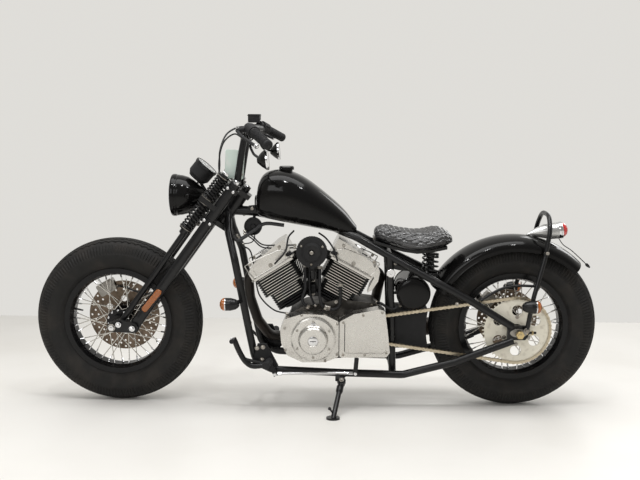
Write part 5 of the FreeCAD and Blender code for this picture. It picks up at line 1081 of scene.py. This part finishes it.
def rear_lines():
    line("rear_brake_line", "chassis", HOSE, 3.2, [
        (1512, 420, 96), (1480, 452, 118), (1420, 472, 128), (1340, 500, 122), (1250, 546, 112),
        (1170, 590, 96), (1132, 560, 84), (1126, 440, 82), (1128, 300, 84), (1100, 186, 96)])
    line("tail_stalk", "chassis", HOSE, 1.8, [
        (1780, 700, -10), (1800, 672, -14), (1834, 649, -14), (1872, 616, -12), (1900, 590, -10)], False)
    clip = Forms()
    clip.lathe(spot(1896, 594, -10), Vector((1, 0, -0.9)),
               [(0, 3), (2, 6), (14, 6), (16, 4), (22, 3.6), (23, 0.5)], 14)
    clip.finish("tail_stalk_clip", "chassis", MATT)


def hose_clips():
    clips = Forms()
    for x, z, y in ((311, 640, -84), (374, 765, -78), (150, 470, -78)):
        clips.lathe(spot(x - 4, z - 4, y), Vector((0.6, 0, 0.8)), [(0, 6), (0.8, 6.6), (8, 6.6), (9, 6)], 18)
    clips.finish("hose_clips", "steering", STEEL)


steering_lines()
engine_lines()
rear_lines()
hose_clips()


# Frame, fender and controls

def frame_details():
    """Axle nuts and adjusters, frame bolts, the torque arm and the lugs on the frame."""
    bolts, dark, nuts, pale = Forms(), Forms(), Forms(), Forms()
    for side in (-1, 1):
        out = SIDE * side
        nuts.nut(SPROCKET + out * 158, out, 17, 13)
        nuts.nut(spot(1640, 338.5, side * 130), BACK, 9, 7)
        nuts.nut(spot(1662, 338.5, side * 130), BACK, 9, 7)
        angles = [math.radians(degrees) for degrees in range(0, 360, 15)]
        oval = [BACK * 34 * math.cos(angle) + UP * 17 * math.sin(angle) for angle in angles]
        pale.plate([SPROCKET + out * 135.4 + point for point in oval], out * 4)
        for size, half_wide, places in (
                (8, 150, [(1638, 352)]), (7, 111, [(1710, 654)]), (5, 135.4, [(1570, 300), (1570, 374)]),
                (6, 147, [(580, 268), (604, 272), (640, 196), (600, 220)]), (5, 142, [(1364, 455)])):
            bolts.hex_bolts(spots(places, side * half_wide), out, size)
    torque = [(1459, 462, -116), (1500, 488, -110), (1550, 512, -106), (1613, 522, -104), (1690, 520, -106)]
    dark.sweep(smooth_path([spot(*point) for point in torque]), 5.5)
    dark.plate(spots(((540, 822), (572, 826), (580, 806), (560, 792), (542, 798)), -40), SIDE * 8)
    dark.plate(spots(((1078, 646), (1128, 628), (1200, 596), (1236, 574), (1224, 566), (1140, 572),
                      (1092, 584), (1080, 606)), -70), SIDE * 3)
    bolts.cap_bolts([spot(555, 812, -46)], -SIDE, 7)
    bolts.hex_bolts([spot(1046, 690, -22)], -SIDE, 6)
    bolts.hex_bolts([spot(1126, 600, -71)], -SIDE, 4.5)
    bolts.finish("frame_bolts", "chassis", STEEL)
    dark.finish("torque_arm_and_lugs", "chassis", SATIN, bevel=0.8)
    nuts.finish("axle_nuts", "chassis", ZINC)
    pale.finish("axle_adjusters", "chassis", CAST, bevel=0.8)


def shift_linkage():
    """The bright sleeve of the shift rod, its ball joints, and the thick arm of the shift lever."""
    rod, arm = Forms(), Forms()
    ahead, behind = spot(653, 169, -164), spot(970, 176, -164)
    way = behind - ahead
    rod.sweep([ahead + way * 0.03, behind - way * 0.03], 5.8, 14)
    for end, inward in ((ahead, way), (behind, -way)):
        rod.lathe(end, inward, [(9, 5.8), (10, 7.4), (26, 7.4), (27, 5.8)], 6)
        rod.lathe(end - SIDE * 14, SIDE, [(0, 4), (1, 6.4), (4, 7.8), (9, 7.8), (12, 6)], 20)
    bends = ((489, 312), (497, 294), (513, 256), (534, 220), (562, 200), (604, 202))
    arm.sweep(smooth_path(spots(bends, -164)), 11, 16)
    rod.lathe(spot(486, 311, -176), -SIDE, [(0, 6), (1, 8), (5, 8), (6, 6), (6, 2)], 20)
    rod.finish("shift_rod_sleeve", "chassis", CHROME)
    arm.finish("shift_lever_arm", "chassis", SATIN)


def stand_fittings():
    """The stand's outer bracket under the rail, the sleeve of its leg and its kick peg."""
    pivot, foot = spot(916, 136, -152), spot(884, 35.7, -291)
    run = (foot - pivot).normalized()
    axis = Vector((0, run.z, -run.y)).normalized()
    above = axis.cross(BACK)
    bracket, bolts, leg = Forms(), Forms(), Forms()
    outline = [(-25, 34), (23, 34), (23, 22), (13, 12), (11, -9), (0, -13), (-25, -4)]
    bracket.plate([pivot + BACK * x + above * rise + axis * 7.9 for x, rise in outline], axis * 4.5)
    bracket.finish("stand_bracket", "chassis", SATIN, bevel=0.8)
    bolts.hex_bolts([pivot + axis * 12.4], axis, 7)
    bolts.hex_bolts([pivot + BACK * 13 + above * 27 + axis * 12.4], axis, 4.5)
    bolts.finish("stand_bolts", "chassis", STEEL)
    leg.lathe(pivot + run * 22, run, [(0, 12.5), (3, 14), (24, 14), (30, 12.8), (33, 10.4)])
    leg.sweep([spot(887, 51, -274), spot(879, 62, -282), spot(872, 74, -286)], 3.6)
    leg.lathe(spot(873, 72, -285.5), spot(-7, 10, -4), [(0, 4), (2, 6.2), (7, 6.2), (9, 4)], 16)
    leg.finish("stand_sleeve", "side_stand", SATIN)


def crowned_fender():
    """The rear fender's rounded crown, rolled at its edges."""
    radius, half, rise, skirt, sheet = 372.0, 92.0, 42.0, 54.0, 3.0
    section = []
    for wall, way in ((0.0, 1), (sheet, -1)):
        bow = []
        for step in range(-12, 13):
            angle = math.pi / 2 * step / 12
            drop = rise * (1 - math.cos(angle))
            bow.append(((half - wall) * math.sin(angle), radius - wall - drop))
        section += [(wall - half, radius - skirt), *bow, (half - wall, radius - skirt)][::way]
    forms, rings = Forms(), []
    edges = {-1: [], 1: []}
    for degrees in range(46, 155, 2):
        out = radial(math.radians(degrees))
        rings.append(forms.ring([REAR / MM + out * reach + SIDE * y for y, reach in section]))
        for side, path in edges.items():
            path.append(REAR / MM + out * (radius - skirt + 1) + SIDE * side * (half - 1.6))
    forms.skin(rings)
    for path in edges.values():
        forms.sweep(path, 2.6, 8)
    piece = forms.finish("crowned_fender", "chassis", BLACK, 40)
    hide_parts("rear_fender")


def can_lids():
    """The domed gloss ends of the round can."""
    lids = Forms()
    dome = [(0, 63.6), (3, 63.4), (5.5, 61), (9, 52), (11.6, 36), (12.8, 16), (13, 0)]
    for side in (-1, 1):
        lids.lathe(spot(1199, 481, side * 91), SIDE * side, dome, 56)
    lids.finish("can_lids", "chassis", BLACK, 50)


def seat_frame():
    """Seat pan, hinge and the two coil springs on the cross tube."""
    forms, coils, bolts = Forms(), Forms(), Forms()
    top = [(1040, 691), (1110, 670), (1160, 658), (1210, 651), (1262, 655), (1330, 670)]
    forms.plate(spots(top, -70) + spots([(x, z - 12) for x, z in reversed(top)], -70), SIDE * 140)
    forms.lathe(spot(1045, 686), spot(-5, -22), [(0, 6), (22.5, 6)], 14)
    for side in (-1, 1):
        low = spot(1271.6, 553.5, side * 63)
        foot = spot(1280.6, 536.5, side * 63) - low
        forms.lathe(low, foot, [(0, 8), (foot.length, 8)], 16)
        forms.lathe(low - UP, UP, [(0, 25), (1, 27), (4, 27), (5, 22)], 32)
        forms.lathe(low + UP * 82, UP, [(0, 22), (1, 26.5), (4, 27), (5, 25)], 32)
        forms.lathe(low, UP, [(0, 8), (86, 8)], 16)
        coils.coil(low + UP * 3, UP, 22.8, 4, 5.4, 80)
        bolts.hex_bolts([low + UP * 98], -UP, 3)
    piece = forms.finish("seat_pan", "chassis", SATIN, bevel=0.8)
    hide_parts("seat_base")
    coils.finish("seat_coils", "chassis", SATIN, 60)
    bolts.finish("seat_bolts", "chassis", STEEL)


def lamps():
    """The tail lamp's rim and pointed cowl, and the rims and bands of the turn signals."""
    rims, bands, cowl = Forms(), Forms(), Forms()
    way = radial(math.radians(8))
    rims.lathe(spot(1738, 722) + way * 50, way,
               [(0, 33.8), (1, 34.6), (6, 34.6), (7.4, 33), (8, 30.5), (6, 29.5)], 48)
    spine = ((1778, 727.6), (1748, 724), (1725, 723), (1700, 719.5), (1676, 714.5), (1655, 709.5))
    cowl.sweep(spots(spine), [33.2, 32, 28, 20.5, 12, 4], 36)
    cowl.finish("tail_cowl", "chassis", ALLOY_PAINT, 40)
    for x, z, y, facing in ((489, 456, 190, -1), (1638, 453, 172, 1)):
        ahead = BACK * facing
        for side in (-1, 1):
            centre = spot(x, z, side * y) + ahead * 28
            rims.lathe(centre - ahead * 5, ahead, [(0, 25), (0.6, 25.8), (4.4, 25.8), (5, 25)], 40)
            bands.lathe(centre - ahead * 30, ahead, [(0, 21), (1, 21.8), (2, 21)], 40)
    rims.finish("lamp_rims", "chassis", CHROME)
    bands.finish("signal_bands", "chassis", MATT)


frame_details()
shift_linkage()
stand_fittings()
crowned_fender()
can_lids()
seat_frame()
lamps()


# Saddle

SEAT_ROWS = [(1036, 694, 726), (1060, 684, 746), (1110, 669, 738), (1160, 657, 727), (1210, 650, 722),
             (1262, 654, 729), (1310, 664, 735), (1345, 676, 722), (1359, 686, 708)]
TO_UPRIGHT = UPRIGHT.inverted()


def seat_row(x):
    """Underside and top of the cushion at a place along the bike."""
    x = min(max(x, SEAT_ROWS[0][0]), SEAT_ROWS[-1][0] - 0.001)
    for first, second in zip(SEAT_ROWS, SEAT_ROWS[1:]):
        if x < second[0]:
            share = (x - first[0]) / (second[0] - first[0])
            return [one + (two - one) * share for one, two in zip(first[1:], second[1:])]


def apply_modifier(piece, kind, **settings):
    modifier = piece.modifiers.new(kind.lower(), kind)
    for key, value in settings.items():
        setattr(modifier, key, value)
    bpy.ops.object.modifier_apply(modifier=modifier.name)


def slim_cushion():
    """A copy of the cushion, a little slimmer, with even faces."""
    source = frame["nodes"]["seat_cushion"]
    piece = bpy.data.objects.new("quilted_saddle", source.data.copy())
    piece.data.materials.clear()
    bpy.context.scene.collection.objects.link(piece)
    bpy.context.view_layer.objects.active = piece
    bpy.ops.object.select_all(action="DESELECT")
    piece.select_set(True)
    middle = Vector((1205, 0, 692))
    for vertex in piece.data.vertices:
        point = TO_UPRIGHT @ (source.matrix_world @ vertex.co) / MM
        shrunk = middle + Vector(((point.x - middle.x) * 0.975, point.y * 0.955, (point.z - middle.z) * 0.93))
        vertex.co = UPRIGHT @ (shrunk * MM)
    apply_modifier(piece, "REMESH", mode="VOXEL", voxel_size=0.0045)
    return piece


def puff(piece):
    """Blows the cushion up under pressure, as far as its cover gives."""
    before = [vertex.co.copy() for vertex in piece.data.vertices]
    cloth = piece.modifiers.new("cloth", "CLOTH")
    cloth.settings.use_pressure = True
    cloth.settings.uniform_pressure_force = 4
    cloth.settings.effector_weights.gravity = 0
    cloth.settings.tension_stiffness = 25
    cloth.settings.quality = 5
    for step in range(1, 21):
        bpy.context.scene.frame_set(step)
    bpy.ops.object.modifier_apply(modifier=cloth.name)
    bpy.context.scene.frame_set(1)
    limit = 6 * MM
    for vertex, start in zip(piece.data.vertices, before):
        move = vertex.co - start
        if move.length > limit:
            vertex.co = start + move.normalized() * limit
    apply_modifier(piece, "SUBSURF", levels=1)


def quilt(mesh):
    """Sews diamonds into the top and two seams round the side."""
    pitch, slope, depth, border = 42.0, 1.2, 6.0, 0.42
    normals = [vertex.normal.copy() for vertex in mesh.vertices]
    for vertex, normal in zip(mesh.vertices, normals):
        point = TO_UPRIGHT @ vertex.co / MM
        low, high = seat_row(point.x)
        rise = (point.z - low) / max(high - low, 1)
        upward = (TO_UPRIGHT.to_3x3() @ normal).normalized().z
        sink = 0.0
        if rise > border and upward > -0.3:
            inside = min(1.0, (rise - border) / 0.1)
            unrolled = abs(point.y) + max(high - point.z, 0)
            waves = [abs(math.sin(math.pi * (point.x + way * slope * unrolled) / pitch)) for way in (-1, 1)]
            sink = depth * (1 - math.sqrt(waves[0] * waves[1])) * inside
        if upward < 0.8:
            for seam in (border - 0.02, 0.14):
                sink = max(sink, 3.2 * math.exp(-((rise - seam) * (high - low) / 2.4) ** 2))
        vertex.co -= normal * sink * MM


def saddle():
    """The quilted saddle: puffed by a cloth simulation, then sewn into diamonds with a border seam."""
    piece = slim_cushion()
    puff(piece)
    quilt(piece.data)
    piece.data.shade_smooth()
    piece.data.materials.append(LEATHER.material)
    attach(piece, "chassis")
    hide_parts("seat_cushion")
    return piece


def saddle_stitches(piece):
    """Two rows of stitches beside the border seam, lying on the cushion's side."""
    tree = BVHTree.FromObject(piece, bpy.context.evaluated_depsgraph_get())
    thread = Forms()
    stitch, pace = 4.2, 6.4
    for side in (-1, 1):
        out = SIDE * side
        inward = (UPRIGHT.to_3x3() @ -out).normalized()
        for share in (0.34, 0.47):
            x = 1064.0
            while x < 1344:
                pair = []
                for place in (x, x + stitch):
                    low, high = seat_row(place)
                    beside = UPRIGHT @ (spot(place, low + share * (high - low), side * 200) * MM)
                    hit = tree.ray_cast(beside, inward)[0]
                    if hit is not None:
                        pair.append(TO_UPRIGHT @ hit / MM)
                if len(pair) == 2:
                    start, end = pair
                    path = [start - out * 0.5, start + out * 0.3, end + out * 0.3, end - out * 0.5]
                    thread.sweep(path, 0.7, 5)
                x += pace
    thread.finish("saddle_stitches", "chassis", THREAD, 60)


saddle_stitches(saddle())


# Stage, lights and camera

def stage():
    floor = Surface("pale_floor", (0.78, 0.765, 0.735), 0.5)
    floor.worn(0.35, 0.6, 300, 4).stained((0.7, 0.68, 0.64), 0.5, 0.4, 0.75, 700, 5)
    mesh = bpy.data.meshes.new("floor")
    near, far, wide = -9.0, 2.4, 9.0
    mesh.from_pydata([(-wide, near, 0), (wide, near, 0), (wide, far, 0), (-wide, far, 0)], [], [(0, 1, 2, 3)])
    ground = bpy.data.objects.new("floor", mesh)
    mesh.materials.append(floor.material)
    bpy.context.scene.collection.objects.link(ground)


def studio():
    """A soft pale surround that falls off towards the near side."""
    world = bpy.data.worlds.new("studio")
    world.use_nodes = True
    tree = world.node_tree
    split = tree.nodes.new("ShaderNodeSeparateXYZ")
    tree.links.new(tree.nodes.new("ShaderNodeTexCoord").outputs["Generated"], split.inputs[0])
    ramp = tree.nodes.new("ShaderNodeMapRange")
    ramp.interpolation_type = "SMOOTHSTEP"
    for value, socket in zip((-0.6, 0.3, 0.42, 0.95), ramp.inputs[1:5]):
        socket.default_value = value
    tree.links.new(split.outputs[1], ramp.inputs[0])
    background = tree.nodes["Background"]
    background.inputs["Color"].default_value = (0.78, 0.765, 0.73, 1)
    tree.links.new(ramp.outputs[0], background.inputs["Strength"])
    bpy.context.scene.world = world
    bpy.context.scene.view_settings.view_transform = "Standard"


def softbox(name, place, target, size, power):
    light = bpy.data.lights.new(name, "AREA")
    light.shape, light.size, light.size_y, light.energy = "RECTANGLE", size[0], size[1], power
    lamp = bpy.data.objects.new(name, light)
    lamp.location = place
    lamp.rotation_mode = "QUATERNION"
    lamp.rotation_quaternion = (Vector(target) - Vector(place)).to_track_quat("-Z", "Y")
    bpy.context.scene.collection.objects.link(lamp)


def camera():
    """The photograph's view: 43.7 mm on a 36 mm sensor, from about 3 m to the left."""
    focal_pixels, image_width, sensor = 776.2, 640, 36.0
    yaw, pitch, roll = -0.0209, 0.0469, 0.0085
    view = Vector((math.sin(yaw) * math.cos(pitch), math.cos(yaw) * math.cos(pitch), -math.sin(pitch)))
    level = view.cross(UP).normalized()
    upward = level.cross(view)
    right = math.cos(roll) * level + math.sin(roll) * upward
    above = math.cos(roll) * upward - math.sin(roll) * level
    data = bpy.data.cameras.new("photo_camera")
    data.sensor_width = sensor
    data.lens = focal_pixels / image_width * sensor
    seen = bpy.data.objects.new("photo_camera", data)
    turn = Matrix((right, above, -view)).transposed().to_4x4()
    seen.matrix_world = Matrix.Translation(shift + Vector((889.7, -3224.3, 821.8)) * MM) @ turn
    bpy.context.scene.collection.objects.link(seen)
    bpy.context.scene.camera = seen


stage()
studio()
softbox("overhead", (0.0, -0.4, 3.6), (0, 0, 0.4), (3.4, 1.6), 70)
softbox("front_fill", (-1.6, -4.2, 2.4), (0, 0, 0.5), (2.6, 2.0), 45)
softbox("rear_fill", (2.6, 2.6, 2.4), (0.2, 0, 0.5), (1.6, 1.6), 30)
for place in ((-0.9, -1.2, 2.7), (0.1, -1.1, 2.7), (1.1, -1.2, 2.7)):
    softbox("ceiling_lamp", place, (place[0], 0, 0.5), (0.14, 0.14), 9)
camera()
